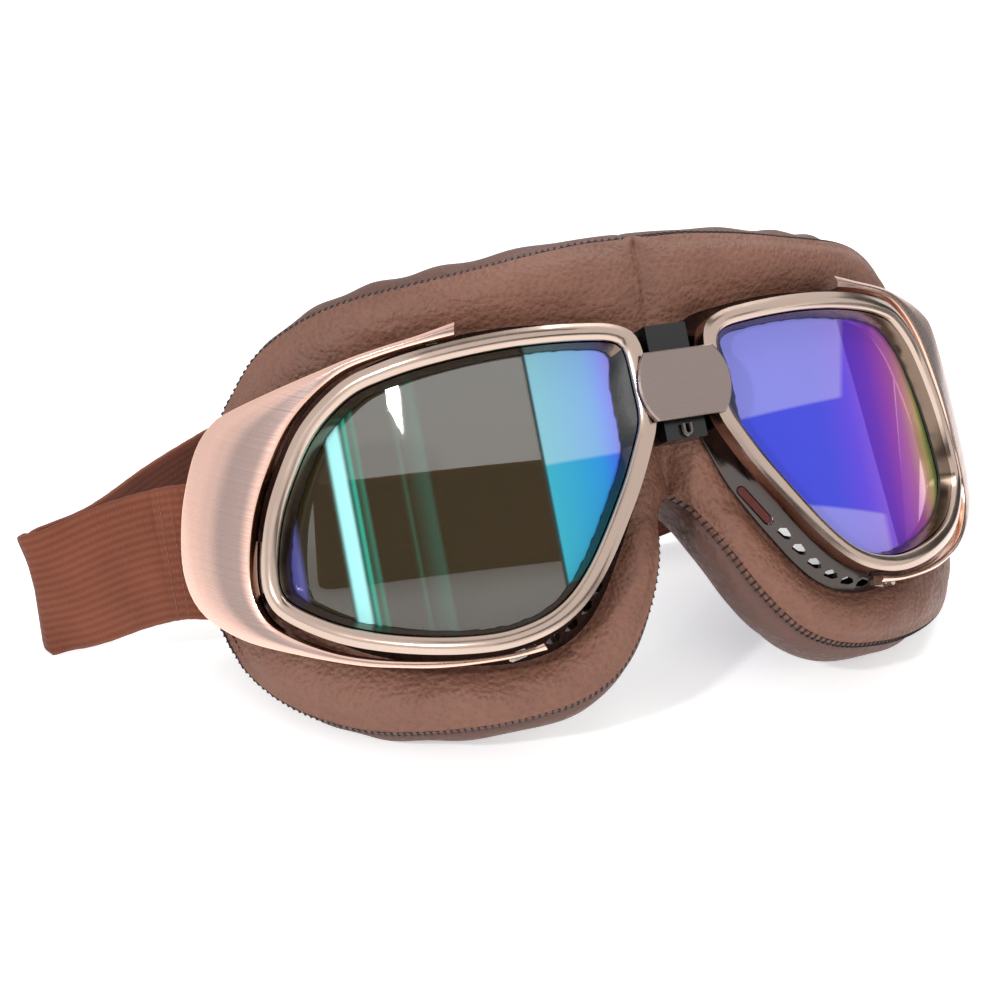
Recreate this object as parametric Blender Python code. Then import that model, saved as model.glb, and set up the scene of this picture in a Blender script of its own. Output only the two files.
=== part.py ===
"""Vintage leather-padded riding goggles, standing on their face pad with the strap folded behind.

The mask is drawn flat first: a distance across the front, a height, and a depth behind the front.
place() then wraps that drawing round the curved front. The whole mask leans back on its pad.
Metres, +Z up, +X to the viewer's right, the front faces -Y.
"""
import math

import bmesh
import bpy
import numpy as np
from mathutils import Matrix, Vector

MM = 0.001

# The curved front
flat_half = 17.6 * MM            # the front is straight this far from the middle
wrap_radius = 62.9 * MM          # radius where the wrap begins; it opens out towards the temples
lean = math.radians(32.6)        # the mask leans back by this much

# Rim, lens and seal
rim_width = 85.5 * MM
rim_height = 59.0 * MM
eye_across = 49.0 * MM           # middle of the rim, from the middle of the mask
eye_up = 1.5 * MM
rim_lip = 3.3 * MM               # width of the copper lip in front of the lens
rim_depth = 4.5 * MM
rim_crown = 0.9 * MM
rim_shoulder_share = 0.33        # the outer wall runs up to this share of the rim's depth
fit_gap = 0.3 * MM               # left between pieces that touch
soft_gap = 0.5 * MM              # and between soft pieces
lens_overlap = 1.1 * MM          # how far the lens reaches under the lip
lens_thickness = 1.7 * MM
seal_width = 0.8 * MM
seal_depth = 2.9 * MM
seal_boss = 2.6 * MM             # swelling of the seal beside the badge
seal_boss_height = 9.0 * MM
seal_crest_share = 0.3           # depth of the seal's crest

# Housing
housing_depth = 10.4 * MM        # back of the housing behind the front
flange_thickness = 1.2 * MM
housing_wall = 1.6 * MM
shelf_width = 2.3 * MM
shelf_thickness = 1.1 * MM
wall_inset = 0.4 * MM            # the wall starts this far inside the rim's outline
wall_waist = 0.3 * MM            # and is this far outside it where the flare begins
waist_share = 0.35               # share of the wall's depth where the flare begins
flange_reach = 2.6 * MM          # how far the flange stands out round most of the rim
vent_flange_reach = 3.9 * MM     # and along the lower nose side, where the vents are
nose_flange_reach = 1.2 * MM     # and beside the nose bridge
vent_side = math.radians(-137)   # direction of the vents from the eye's middle
vent_spread = math.radians(62)
nose_side = math.radians(167)    # direction of the nose bridge
nose_spread = math.radians(26)
flange_rest = 2.0 * MM           # width of the flange's back, which clamps the leather
slot_length = 10.4 * MM
slot_height = 2.1 * MM
slot_from_nose = 27.0 * MM       # along the rim's outline from the side of the nose bridge
slot_up_share = 0.62             # share of the flare's height where the slot lies
fin_length = 3.3 * MM
fin_height = 2.0 * MM
fin_count = 6
fin_pitch = 4.6 * MM
fins_from_nose = 35.5 * MM
fin_up_share = 0.40
vent_tilt = math.radians(52.0)   # direction in which a vent is bored, from sideways to forwards
vent_cut = 6.0 * MM              # length of a vent's cutter
foam_strip_depth = 1.4 * MM

# Temple wing
wing_reach = 111.5 * MM          # end of the wing, measured round the front
wing_height = 64.0 * MM
wing_front = 0.3 * MM            # the wing's face lies this far behind the rim's
wing_thickness = 2.4 * MM
wing_round = 0.45 * MM
wing_gap_tip = 0.9 * MM          # gap to the rim at the arm tips
wing_gap_temple = 2.7 * MM       # gap to the rim at the temple
wing_gap_spread = math.radians(95)
peg_radius = 0.8 * MM
peg_spacing = 2.6 * MM
peg_length = 3.4 * MM
clip_foot = 0.9 * MM

# Strap bracket and bar behind the wing
bar_across = 99.5 * MM
bar_depth = 6.8 * MM
bar_radius = 1.5 * MM
bar_up = 2.2 * MM
bracket_thickness = 1.0 * MM
bracket_half_width = 5.2 * MM
window_half_width = 4.2 * MM     # the webbing turns through this window in the bracket
lug_thickness = 1.5 * MM
lug_gap = 0.4 * MM               # beside the webbing
lug_wall = 1.1 * MM              # metal round the bar
tongue_reach = 2.2 * MM          # the bracket's tongue runs on to the rim
tongue_height = 10.0 * MM
tongue_down = 5.5 * MM

# Nose bridge
bridge_half_width = 4.4 * MM
bridge_height = 23.0 * MM
bridge_up = 16.8 * MM            # middle of the bridge block
bridge_front = 2.3 * MM
bridge_back = 8.6 * MM
hinge_depth = 5.6 * MM
hinge_pin_radius = 1.2 * MM
ear_height = 6.0 * MM
ear_thickness = 3.6 * MM
ear_reach = 5.3 * MM             # from the hinge pin to the right housing's wall
running_gap = 0.1 * MM
badge_radius = 9.9 * MM
badge_height = 13.5 * MM
badge_thickness = 1.5 * MM
badge_up = 15.7 * MM
badge_front = -1.9 * MM
badge_bevel = 0.35 * MM
post_radius = 1.1 * MM
clip_radius = 0.45 * MM
clip_width = 2.4 * MM
clip_height = 2.2 * MM
clip_low = 6.0 * MM

# Face pad
pad_half_width = 115.6 * MM      # round the front, to the pad's outer edge
pad_top = 48.2 * MM
pad_bottom = 42.0 * MM
pad_notch_up = -4.0 * MM         # top of the nose notch
leather_thickness = 2.2 * MM
edge_border = 1.3 * MM           # the leather stands out past the stitches at the temples
border_start_share = 0.2
pad_crown = 3.2 * MM             # how far the front leather swells
pad_tuck = 1.6 * MM              # how far the leather reaches under the flange
seam_depth = 8.8 * MM            # depth of the stitched edge
notch_set_back = 7.4 * MM        # the stitched edge is deeper at the nose notch
notch_spread = 11.0 * MM
temple_set_back = 3.6 * MM       # and behind the wings, where the strap passes
temple_spread = math.radians(22)
temple_ease_share = 0.5          # how soon the leather falls back there
crown_width = 13.0 * MM          # the leather swells fully where it is this wide
crown_ease_share = 0.75
bridge_set_back = 2.6 * MM       # the leather lies deeper behind the nose bridge
bridge_spread = 17.0 * MM
roll_depth = 17.5 * MM           # thickness of the face roll behind the front leather
roll_swell = 2.4 * MM            # how far the face roll stands out past the stitched edge
roll_swell_top = 3.8 * MM        # and how far along the top
roll_share = 0.60                # share of the pad's width that the face roll covers
split_gap = 0.2 * MM             # half the gap between the pad's halves
split_draft_share = 0.035        # the gap opens towards the face, so that the nose can flex
foam_thickness = 4.0 * MM
thread_radius = 0.4 * MM
stand_flat_depth = 0.5 * MM      # the pad is pressed flat this deep where it stands

# Strap
strap_width = 28.0 * MM
strap_thickness = 1.7 * MM
loop_gap = 0.35 * MM
fold_across = 124.0 * MM         # the strap's fold beyond the left wing
loop_back = 125.0 * MM           # furthest reach of the strap behind the mask
doubled_length = 21.0 * MM       # sewn end, from the bar to the seam
seam_gap = 1.2 * MM              # between the sewn end and the single webbing
open_gap = 7.0 * MM              # the strap loop is opened here, behind the nose
slider_from_end = 75.0 * MM      # along the strap from the right bar to the slider
slider_length = 12.0 * MM
slider_wall = 1.3 * MM
slider_rim = 2.2 * MM
slider_clearance = 0.7 * MM
tail_length = 10.0 * MM          # webbing that runs on past the slider
turn_share = 0.45                # share of the sewn end that opens out round the bar
turn_ease_share = 1.5
exit_run = 7.0 * MM              # the webbing leaves its bar straight for this length
exit_turn = math.radians(12.0)   # turned in from the wing by this much
overrun = 1.0 * MM               # how far cutters pass the faces that they cut

# Mesh fineness
eye_steps = 40
pad_steps = 44
wing_steps = 30
strap_steps = 4
lens_rings = 2
arc_steps = 6
badge_steps = 12
fold_steps = 9
turn_steps = 6
peg_sides = 8
post_sides = 12

# The rim's outline as shares of its width and height, anticlockwise from the nose side
rim_outline_share = [
    (-0.499, 0.246), (-0.496, 0.136), (-0.469, 0.041), (-0.408, -0.114), (-0.299, -0.332),
    (-0.204, -0.449), (-0.092, -0.497), (0.032, -0.493), (0.187, -0.449), (0.329, -0.380),
    (0.450, -0.280), (0.494, -0.203), (0.498, -0.105), (0.465, 0.054), (0.409, 0.195),
    (0.326, 0.341), (0.211, 0.446), (0.104, 0.481), (-0.030, 0.497), (-0.199, 0.500),
    (-0.363, 0.486), (-0.448, 0.464), (-0.491, 0.407)]

# The rim's lip from its outer edge inwards: share of rim_lip and depth as a share of rim_crown
rim_lip_share = [(0.12, 0.5), (0.38, 0.0), (0.72, 0.1), (1.0, 0.9)]

# Outline of a vent fin as shares of its length and height
fin_share = [(-0.50, -0.05), (-0.20, -0.42), (0.45, -0.50),
             (0.50, 0.05), (0.25, 0.50), (-0.25, 0.35)]

# Back of the face roll as shares of its width inwards from the edge and of its depth
roll_back_share = [(1.0, 0.50), (0.80, 0.86), (0.45, 1.0), (0.10, 0.88)]

# and its side as shares of its swell outwards and of its depth
roll_side_share = [(0.70, 0.62), (1.0, 0.35), (0.75, 0.12)]

# Places across the front leather, from the housing to the stitched edge
leather_share = [0.0, 0.10, 0.28, 0.50, 0.72, 0.88, 1.0]

# The wing's outer outline from the lower arm tip round the temple to the upper arm tip,
# across as shares of wing_reach and up as shares of wing_height
wing_outline_share = [
    (0.330, -0.462), (0.400, -0.468), (0.505, -0.458), (0.586, -0.434), (0.664, -0.403),
    (0.779, -0.337), (0.879, -0.269), (0.948, -0.192), (0.983, -0.122), (0.998, -0.040),
    (0.997, 0.045), (0.979, 0.167), (0.947, 0.283), (0.914, 0.366), (0.870, 0.422),
    (0.829, 0.441), (0.738, 0.464), (0.635, 0.488), (0.574, 0.503), (0.510, 0.513),
    (0.447, 0.522), (0.380, 0.538)]

# The pad's stitched edge from the middle of its top round the temple to the nose notch,
# across as shares of pad_half_width and up as shares of pad_top (above) or pad_bottom (below)
pad_top_share = [
    (0.000, 1.000), (0.087, 1.000), (0.166, 0.983), (0.308, 0.952), (0.430, 0.935),
    (0.543, 0.927), (0.626, 0.908), (0.705, 0.866), (0.775, 0.797), (0.830, 0.690),
    (0.885, 0.570), (0.940, 0.388), (0.982, 0.150)]
pad_bottom_share = [
    (1.000, -0.120), (0.992, -0.270), (0.965, -0.410), (0.915, -0.565), (0.815, -0.760),
    (0.685, -0.908), (0.543, -0.975), (0.395, -1.000), (0.265, -0.965), (0.171, -0.850),
    (0.109, -0.643), (0.065, -0.407), (0.033, -0.190)]

# The strap's route from the left wing to the right one: across as shares of fold_across, back as
# shares of loop_back, its height as a share of the bar's, and how much it still leans with the mask
strap_share = [
    (-0.758, 0.396, 0.74, 0.90),
    (-0.839, 0.456, 0.50, 0.62), (-0.927, 0.512, 0.18, 0.25), (-0.978, 0.548, 0.04, 0.05),
    (-0.984, 0.566, 0.00, 0.00), (-0.974, 0.592, 0.00, 0.00), (-0.873, 0.652, 0.00, 0.00),
    (-0.751, 0.788, 0.00, 0.00), (-0.649, 0.888, 0.00, 0.00), (-0.578, 0.949, 0.00, 0.00),
    (-0.487, 0.999, 0.00, 0.00), (-0.395, 0.979, 0.00, 0.00), (-0.355, 0.898, 0.00, 0.00),
    (-0.385, 0.788, 0.00, 0.00), (-0.435, 0.688, 0.00, 0.00), (-0.463, 0.622, 0.00, 0.00),
    (-0.458, 0.600, 0.00, 0.00), (-0.416, 0.592, 0.00, 0.00), (-0.203, 0.572, 0.00, 0.00),
    (0.000, 0.548, 0.00, 0.00), (0.100, 0.537, 0.02, 0.00), (0.190, 0.535, 0.10, 0.00),
    (0.290, 0.540, 0.22, 0.00), (0.390, 0.545, 0.34, 0.00), (0.490, 0.550, 0.46, 0.00),
    (0.590, 0.555, 0.58, 0.00), (0.680, 0.558, 0.62, 0.05),
    (0.762, 0.549, 0.62, 0.20), (0.812, 0.507, 0.64, 0.45), (0.808, 0.447, 0.68, 0.72),
    (0.758, 0.396, 0.75, 0.90)]


def spline(points, steps, closed):
    """Catmull-Rom curve through the points, as an array of rows."""
    pts = np.array(points, float)
    count = len(pts)
    spans = count if closed else count - 1
    rows = []
    for i in range(spans):
        if closed:
            a, b, c, d = (pts[(i + k) % count] for k in (-1, 0, 1, 2))
        else:
            a, b, c, d = (pts[min(max(i + k, 0), count - 1)] for k in (-1, 0, 1, 2))
        for k in range(steps):
            t = k / steps
            rows.append(0.5 * (2 * b + (c - a) * t + (2 * a - 5 * b + 4 * c - d) * t ** 2
                               + (3 * b - a - 3 * c + d) * t ** 3))
    if not closed:
        rows.append(pts[-1])
    return np.array(rows)


def offset_loop(loop, distance):
    """The closed loop moved outwards by a distance; the loop runs anticlockwise."""
    ahead = np.roll(loop, -1, axis=0) - np.roll(loop, 1, axis=0)
    ahead /= np.linalg.norm(ahead, axis=1)[:, None]
    return loop + np.stack([ahead[:, 1], -ahead[:, 0]], 1) * distance


eye = np.array([eye_across, eye_up])
rim_loop = spline([(eye_across + a * rim_width, eye_up + b * rim_height)
                   for a, b in rim_outline_share], 12, True)


def radii(loop, angles):
    """Distance from the eye's middle to the loop in each direction."""
    rel = loop - eye
    direction = np.arctan2(rel[:, 1], rel[:, 0])
    order = np.argsort(direction)
    return np.interp(angles, direction[order], np.hypot(rel[:, 0], rel[:, 1])[order],
                     period=2 * math.pi)


def even_angles(loop, count):
    """Directions from the eye's middle that space points evenly along the loop."""
    steps = np.linalg.norm(np.roll(loop, -1, axis=0) - loop, axis=1)
    along = np.concatenate([[0], np.cumsum(steps)])
    closed = np.vstack([loop, loop[:1]])
    wanted = np.arange(count) * along[-1] / count
    pts = np.stack([np.interp(wanted, along, closed[:, k]) for k in (0, 1)], 1) - eye
    return np.sort(np.arctan2(pts[:, 1], pts[:, 0]))


def front_at(across):
    """Plan place of a distance across the front: sideways, backwards and the slope there."""
    if across <= flat_half:
        return across, 0.0, 0.0
    run = across - flat_half
    side = run
    for _ in range(12):
        a = side / wrap_radius
        length = wrap_radius / 2 * (a * math.sqrt(1 + a * a) + math.asinh(a))
        side -= (length - run) / math.sqrt(1 + a * a)
    return flat_half + side, side * side / (2 * wrap_radius), math.atan(side / wrap_radius)


def place(across, up, depth):
    """A point of the flat drawing on the wrapped mask."""
    side, back, slope = front_at(abs(across))
    x = side - depth * math.sin(slope)
    y = back + depth * math.cos(slope)
    return Vector((math.copysign(x, across) if across else x, y, up))


def frame_on_front(across, up, depth):
    """Matrix of a place on the wrapped mask: x round the front, y backwards, z up."""
    _, _, slope = front_at(abs(across))
    turn = slope if across > 0 else -slope
    return Matrix.Translation(place(across, up, depth)) @ Matrix.Rotation(turn, 4, "Z")


# Materials
def material(name, colour, metallic, roughness, alpha=1.0):
    mat = bpy.data.materials.new(name)
    mat.use_nodes = True
    shader = mat.node_tree.nodes["Principled BSDF"]
    shader.inputs["Base Color"].default_value = (*colour, 1.0)
    shader.inputs["Metallic"].default_value = metallic
    shader.inputs["Roughness"].default_value = roughness
    mat.diffuse_color = (*colour, alpha)
    return mat


def clear_scene():
    for obj in list(bpy.data.objects):
        bpy.data.objects.remove(obj, do_unlink=True)


clear_scene()
goggles = bpy.data.collections.new("leather_goggles")
cutters = bpy.data.collections.new("cutters")
for group in (goggles, cutters):
    bpy.context.scene.collection.children.link(group)

copper = material("rim_copper", (0.72, 0.45, 0.36), 1.0, 0.22)
brushed_copper = material("brushed_copper", (0.78, 0.52, 0.44), 1.0, 0.35)
dark_chrome = material("dark_chrome", (0.16, 0.14, 0.13), 1.0, 0.18)
steel = material("steel", (0.62, 0.61, 0.60), 1.0, 0.25)
black_plastic = material("black_plastic", (0.012, 0.012, 0.014), 0.0, 0.35)
rubber = material("black_rubber", (0.015, 0.015, 0.015), 0.0, 0.7)
mirror_left = material("mirror_lens_left", (0.20, 0.30, 0.40), 0.8, 0.08)
mirror_right = material("mirror_lens_right", (0.18, 0.12, 0.55), 0.8, 0.08)
leather = material("brown_leather", (0.22, 0.11, 0.08), 0.0, 0.55)
dark_leather = material("dark_leather", (0.15, 0.08, 0.06), 0.0, 0.6)
foam = material("grey_foam", (0.05, 0.045, 0.045), 0.0, 0.95)
red_foam = material("red_vent_foam", (0.12, 0.02, 0.02), 0.0, 0.95)
thread = material("black_thread", (0.02, 0.015, 0.02), 0.0, 0.8)
webbing = material("brown_webbing", (0.24, 0.09, 0.06), 0.0, 0.9)


# Making objects
def new_object(name, mesh, mat, world, parent, parent_world):
    obj = bpy.data.objects.new(name, mesh)
    goggles.objects.link(obj)
    mesh.materials.append(mat)
    obj.parent = parent
    obj.matrix_parent_inverse = parent_world.inverted()
    obj.matrix_basis = world
    return obj


def mesh_from(bm, name, smooth_angle=math.radians(35)):
    """Finished mesh with its faces pointing out and its round faces smooth."""
    bmesh.ops.remove_doubles(bm, verts=bm.verts, dist=1e-7)
    bmesh.ops.recalc_face_normals(bm, faces=bm.faces)
    mesh = bpy.data.meshes.new(name)
    bm.to_mesh(mesh)
    bm.free()
    mesh.shade_smooth()
    mesh.set_sharp_from_angle(angle=smooth_angle)
    return mesh


def loft(rows, around, along):
    """Mesh from rows of points. around closes each row, along joins the last row to the first;
    an open end of rows gets a cap."""
    bm = bmesh.new()
    grid = [[bm.verts.new(p) for p in row] for row in rows]
    count = len(rows)
    width = len(rows[0])
    for j in range(count if along else count - 1):
        for i in range(width if around else width - 1):
            k = (i + 1) % width
            n = (j + 1) % count
            bm.faces.new((grid[j][i], grid[j][k], grid[n][k]))
            bm.faces.new((grid[j][i], grid[n][k], grid[n][i]))
    if not along:
        bm.faces.new(grid[0])
        bm.faces.new(grid[-1][::-1])
    return bm


def box(bm, low, high):
    """Adds an upright box to the mesh."""
    low = Vector(low)
    high = Vector(high)
    size = high - low
    matrix = Matrix.Translation((low + high) / 2) @ Matrix.Diagonal((*size, 1.0))
    bmesh.ops.create_cube(bm, size=1.0, matrix=matrix)


def rod(bm, radius, length, matrix, sides=16):
    """Adds a closed cylinder along the matrix's z axis, centred on it."""
    bmesh.ops.create_cone(bm, cap_ends=True, segments=sides, radius1=radius, radius2=radius,
                          depth=length, matrix=matrix)


def cutter(name, bm, world):
    mesh = mesh_from(bm, name)
    obj = bpy.data.objects.new(name, mesh)
    cutters.objects.link(obj)
    obj.parent = stand[0]
    obj.matrix_basis = world
    obj.hide_render = True
    obj.display_type = "WIRE"
    return obj


def boolean(obj, tool, operation="DIFFERENCE"):
    mod = obj.modifiers.new(tool.name, "BOOLEAN")
    mod.operation = operation
    mod.solver = "EXACT"
    mod.object = tool


# Directions round the eye
pad_loop = spline(
    [(a * pad_half_width, b * pad_top) for a, b in pad_top_share]
    + [(a * pad_half_width, b * pad_bottom) for a, b in pad_bottom_share]
    + [(0.0, pad_notch_up)], arc_steps, False)
corner_angles = [math.atan2(up - eye_up, -eye_across) for up in (pad_top, pad_notch_up)]


def bump(angles, middle, half_width):
    """1 at a direction, falling smoothly to 0 at half_width from it."""
    away = np.abs((angles - middle + math.pi) % (2 * math.pi) - math.pi)
    return np.where(away < half_width, np.cos(away / half_width * math.pi / 2) ** 2, 0.0)


def with_corners(angles, corners):
    """The directions, with the nearest one moved on to each corner."""
    angles = angles.copy()
    for corner in corners:
        angles[np.argmin(np.abs(angles - corner))] = corner
    return np.sort(angles)


eye_angles = even_angles(rim_loop, eye_steps)
pad_angles = with_corners(even_angles(pad_loop, pad_steps), corner_angles)


def ring(side, radius, depth, angles):
    """Closed row of points round one eye; radius and depth may change with the direction."""
    radius = np.broadcast_to(radius, angles.shape)
    depth = np.broadcast_to(depth, angles.shape)
    row = []
    for angle, r, d in zip(angles, radius, depth):
        split = split_gap + split_draft_share * max(d, 0.0)
        across = max(eye_across + r * math.cos(angle), split)
        row.append(place(side * across, eye_up + r * math.sin(angle), d))
    return row


def rim_radii(distance, angles=eye_angles):
    """Distance from the eye's middle to the rim's outline moved outwards by a distance."""
    return radii(offset_loop(rim_loop, distance), angles)


def torus(side, profile, angles):
    """Closed loft round one eye from pairs of radius and depth."""
    rows = [ring(side, radius, depth, angles) for radius, depth in profile]
    return loft(rows, True, True)


def rim(side):
    """Copper bezel: a rounded lip in front of the lens and an outer wall."""
    profile = [(0.0, rim_depth), (0.0, rim_shoulder_share * rim_depth)]
    profile += [(-a * rim_lip, b * rim_crown) for a, b in rim_lip_share]
    profile += [(-rim_lip, rim_depth)]
    return torus(side, [(rim_radii(o), d) for o, d in profile], eye_angles)


lens_inset = rim_lip - lens_overlap
lens_front = rim_depth + fit_gap
lens_back = lens_front + lens_thickness
seal_front = rim_depth - seal_depth


def lens(side):
    """Curved plate held between the rim's back and the housing's shelf."""
    edge = rim_radii(-lens_inset)
    bm = bmesh.new()
    shares = [1 - k / (lens_rings + 1) for k in range(lens_rings + 1)]
    rows = [ring(side, edge * s, lens_front, eye_angles) for s in reversed(shares)]
    rows += [ring(side, edge * s, lens_back, eye_angles) for s in shares]
    grid = [[bm.verts.new(p) for p in row] for row in rows]
    count = len(eye_angles)
    for a, b in zip(grid, grid[1:]):
        for i in range(count):
            k = (i + 1) % count
            bm.faces.new((a[i], a[k], b[k], b[i]))
    for row, depth in ((grid[0], lens_front), (grid[-1], lens_back)):
        pole = bm.verts.new(place(side * eye_across, eye_up, depth))
        for i in range(count):
            bm.faces.new((row[i], row[(i + 1) % count], pole))
    return bm


def seal(side):
    """Black seal that lines the bezel, with a boss beside the badge."""
    edge = rim_radii(-rim_lip - fit_gap)
    up = eye_up + edge * np.sin(eye_angles)
    near_badge = np.exp(-((up - badge_up) / seal_boss_height) ** 4)
    boss = seal_boss * near_badge * (np.cos(eye_angles) < 0)
    return torus(side, [(edge, seal_front),
                        (edge - 0.5 * seal_width - boss, seal_front + seal_crest_share * seal_depth),
                        (edge - seal_width - boss, rim_depth),
                        (edge, rim_depth)], eye_angles)


def flange_out(angles):
    """How far the housing's flange stands out past the rim in each direction."""
    vent = bump(angles, vent_side, vent_spread)
    nose = bump(angles, nose_side, nose_spread)
    return (flange_reach + (vent_flange_reach - flange_reach) * vent
            + (nose_flange_reach - flange_reach) * nose)


flange_front = housing_depth - flange_thickness
wall_front = rim_depth + fit_gap
waist_depth = wall_front + waist_share * (flange_front - wall_front)


def housing_body(side):
    """Cup behind the rim: front edge, flared wall, flange and the shelf that backs the lens."""
    shelf_front = lens_back + fit_gap
    shelf_back = shelf_front + shelf_thickness
    inner = fit_gap - lens_inset
    base = rim_radii(0.0)
    out = flange_out(eye_angles)
    return torus(side, [(base - wall_inset, wall_front), (base + wall_waist, waist_depth),
                        (base + out, flange_front), (base + out, housing_depth),
                        (base + out - flange_rest, housing_depth),
                        (rim_radii(inner + 0.5 * housing_wall), shelf_back),
                        (rim_radii(inner - shelf_width), shelf_back),
                        (rim_radii(inner - shelf_width), shelf_front),
                        (rim_radii(inner), shelf_front), (rim_radii(inner), wall_front)], eye_angles)


def along_rim(distance):
    """Place and outward direction at a distance along the rim's outline from the nose bridge."""
    steps = np.linalg.norm(np.roll(rim_loop, -1, axis=0) - rim_loop, axis=1)
    along = np.concatenate([[0], np.cumsum(steps)])
    i = int(np.searchsorted(along, distance)) - 1
    a = rim_loop[i]
    b = rim_loop[(i + 1) % len(rim_loop)]
    ahead = (b - a) / np.linalg.norm(b - a)
    return a + ahead * (distance - along[i]), np.array([ahead[1], -ahead[0]]), ahead


def vent_frame(side, distance, height_share):
    """Matrix of a vent in the housing's flared wall: x along the rim, y up the flare, z the bore."""
    spot, out, ahead = along_rim(distance)
    reach = float(flange_out(np.array([math.atan2(*(spot - eye)[::-1])]))[0])
    spot = spot + out * (wall_waist + height_share * (reach - wall_waist))
    depth = waist_depth + height_share * (flange_front - waist_depth)
    base = frame_on_front(side * spot[0], spot[1], depth)
    x = Vector((side * ahead[0], 0.0, ahead[1]))
    outward = Vector((side * out[0], 0.0, out[1]))
    z = outward * math.cos(vent_tilt) - Vector((0.0, 1.0, 0.0)) * math.sin(vent_tilt)
    y = z.cross(x)
    turn = Matrix((x, y, z)).transposed().to_4x4()
    return base @ turn


def prism(outline, low, high):
    """Upright prism on a flat outline."""
    rows = [[(x, y, z) for x, y in outline] for z in (low, high)]
    return loft(rows, True, False)


def slot_outline(length, height):
    """Outline with round ends."""
    half = (length - height) / 2
    points = []
    for middle, first in ((half, -90), (-half, 90)):
        for k in range(5):
            a = math.radians(first + 45 * k)
            points.append((middle + height / 2 * math.cos(a), height / 2 * math.sin(a)))
    return points


def pad_radii(angles):
    """Distance from the eye's middle to the pad's stitched edge in each direction."""
    closed = np.vstack([pad_loop, [(0.0, pad_notch_up + k * (pad_top - pad_notch_up) / 8)
                                   for k in range(1, 8)]])
    return radii(closed, angles)


outward = np.clip(np.cos(pad_angles) + border_start_share, 0.0, 1.0)
pad_edge = pad_radii(pad_angles) + edge_border * outward
pad_flange = rim_radii(0.0, pad_angles) + flange_out(pad_angles)
pad_start = pad_flange + soft_gap
pad_seat = housing_depth + soft_gap
edge_spot = eye + np.stack([np.cos(pad_angles), np.sin(pad_angles)], 1) * pad_edge[:, None]
notch_near = np.exp(-((edge_spot[:, 0]) ** 2 + (edge_spot[:, 1] - pad_notch_up) ** 2)
                    / notch_spread ** 2)
temple_near = np.exp(-(pad_angles / temple_spread) ** 4)
bridge_near = (np.exp(-((edge_spot[:, 1] - bridge_up) / bridge_spread) ** 4)
               * (edge_spot[:, 0] < bridge_half_width))
pad_seam_depth = (seam_depth + notch_set_back * notch_near + temple_set_back * temple_near
                  + bridge_set_back * bridge_near)
local_crown = (pad_crown * np.minimum((pad_edge - pad_start) / crown_width, 1.0)
               * (1 - temple_near) * (1 - bridge_near))


def leather_radius(share):
    return pad_start + (pad_edge - pad_start) * share


def leather_depth(share):
    """Depth of the leather's front between the housing (0) and the stitched edge (1)."""
    ease = share ** temple_ease_share * temple_near + share * (1 - temple_near)
    return (pad_seat + (pad_seam_depth - pad_seat) * ease
            - local_crown * math.sin(math.pi * share) ** crown_ease_share)


roll_start_share = 1 - roll_share
roll_middle_share = 1 - roll_share / 2
behind_leather = leather_thickness + soft_gap


def pad_front(side):
    """Leather from under the housing's flange, over its swelling, to the stitched edge."""
    tucked = pad_flange - pad_tuck
    profile = [(tucked, pad_seat)]
    profile += [(leather_radius(s), leather_depth(s)) for s in leather_share]
    profile += [(leather_radius(s), leather_depth(s) + leather_thickness)
                for s in (1.0, roll_middle_share, roll_start_share, 0.0)]
    profile += [(tucked, pad_seat + leather_thickness)]
    return torus(side, profile, pad_angles)


def pad_foam(side):
    """Foam behind the leather, from the housing to the face roll."""
    tucked = pad_flange - pad_tuck
    start = pad_seat + behind_leather
    stop = leather_radius(roll_start_share) - soft_gap
    deep = leather_depth(roll_start_share) + behind_leather
    return torus(side, [(stop, deep), (leather_radius(0.0), start), (tucked, start),
                        (tucked, start + foam_thickness), (stop, deep + foam_thickness)],
                 pad_angles)


def face_roll_rows(side):
    """Padded roll that lies against the face, standing out past the stitched edge."""
    deep = leather_depth(1.0) + behind_leather
    start = leather_radius(roll_start_share)
    width = pad_edge - start
    top = np.maximum(np.sin(pad_angles), 0.0)
    swell = roll_swell + (roll_swell_top - roll_swell) * top
    swell = swell * np.minimum((edge_spot[:, 0] + top * notch_spread) / notch_spread, 1.0)
    profile = [(pad_edge, deep),
               (leather_radius(roll_middle_share),
                leather_depth(roll_middle_share) + behind_leather),
               (start, leather_depth(roll_start_share) + behind_leather)]
    profile += [(pad_edge - a * width, deep + b * roll_depth) for a, b in roll_back_share]
    profile += [(pad_edge + a * swell, deep + b * roll_depth) for a, b in roll_side_share]
    return [ring(side, radius, depth, pad_angles) for radius, depth in profile]


def wing_edges():
    """Directions, inner and outer radii of the wing, from the lower arm tip to the upper one."""
    outline = spline([(a * wing_reach, b * wing_height) for a, b in wing_outline_share],
                     arc_steps, False) - eye
    direction = np.arctan2(outline[:, 1], outline[:, 0])
    angles = np.linspace(direction[0], direction[-1], wing_steps)
    outer = np.interp(angles, direction, np.hypot(outline[:, 0], outline[:, 1]))
    gap = wing_gap_tip + (wing_gap_temple - wing_gap_tip) * bump(angles, 0.0, wing_gap_spread)
    inner = np.array([float(rim_radii(g, np.array([a]))[0]) for a, g in zip(angles, gap)])
    return angles, inner, outer


wing_angles, wing_inner, wing_outer = wing_edges()


def wing(side):
    """Copper plate with two arms that hold the rim between them."""
    back = wing_front + wing_thickness
    rows = []
    for angle, inner, outer in zip(wing_angles, wing_inner, wing_outer):
        r = wing_round
        profile = [(inner, back), (inner, wing_front + r), (inner + r, wing_front),
                   (0.5 * (inner + outer), wing_front), (outer - r, wing_front),
                   (outer, wing_front + r), (outer, back), (0.5 * (inner + outer), back)]
        rows.append([place(side * (eye_across + q * math.cos(angle)),
                           eye_up + q * math.sin(angle), d) for q, d in profile])
    return loft(rows, True, False)


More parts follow.
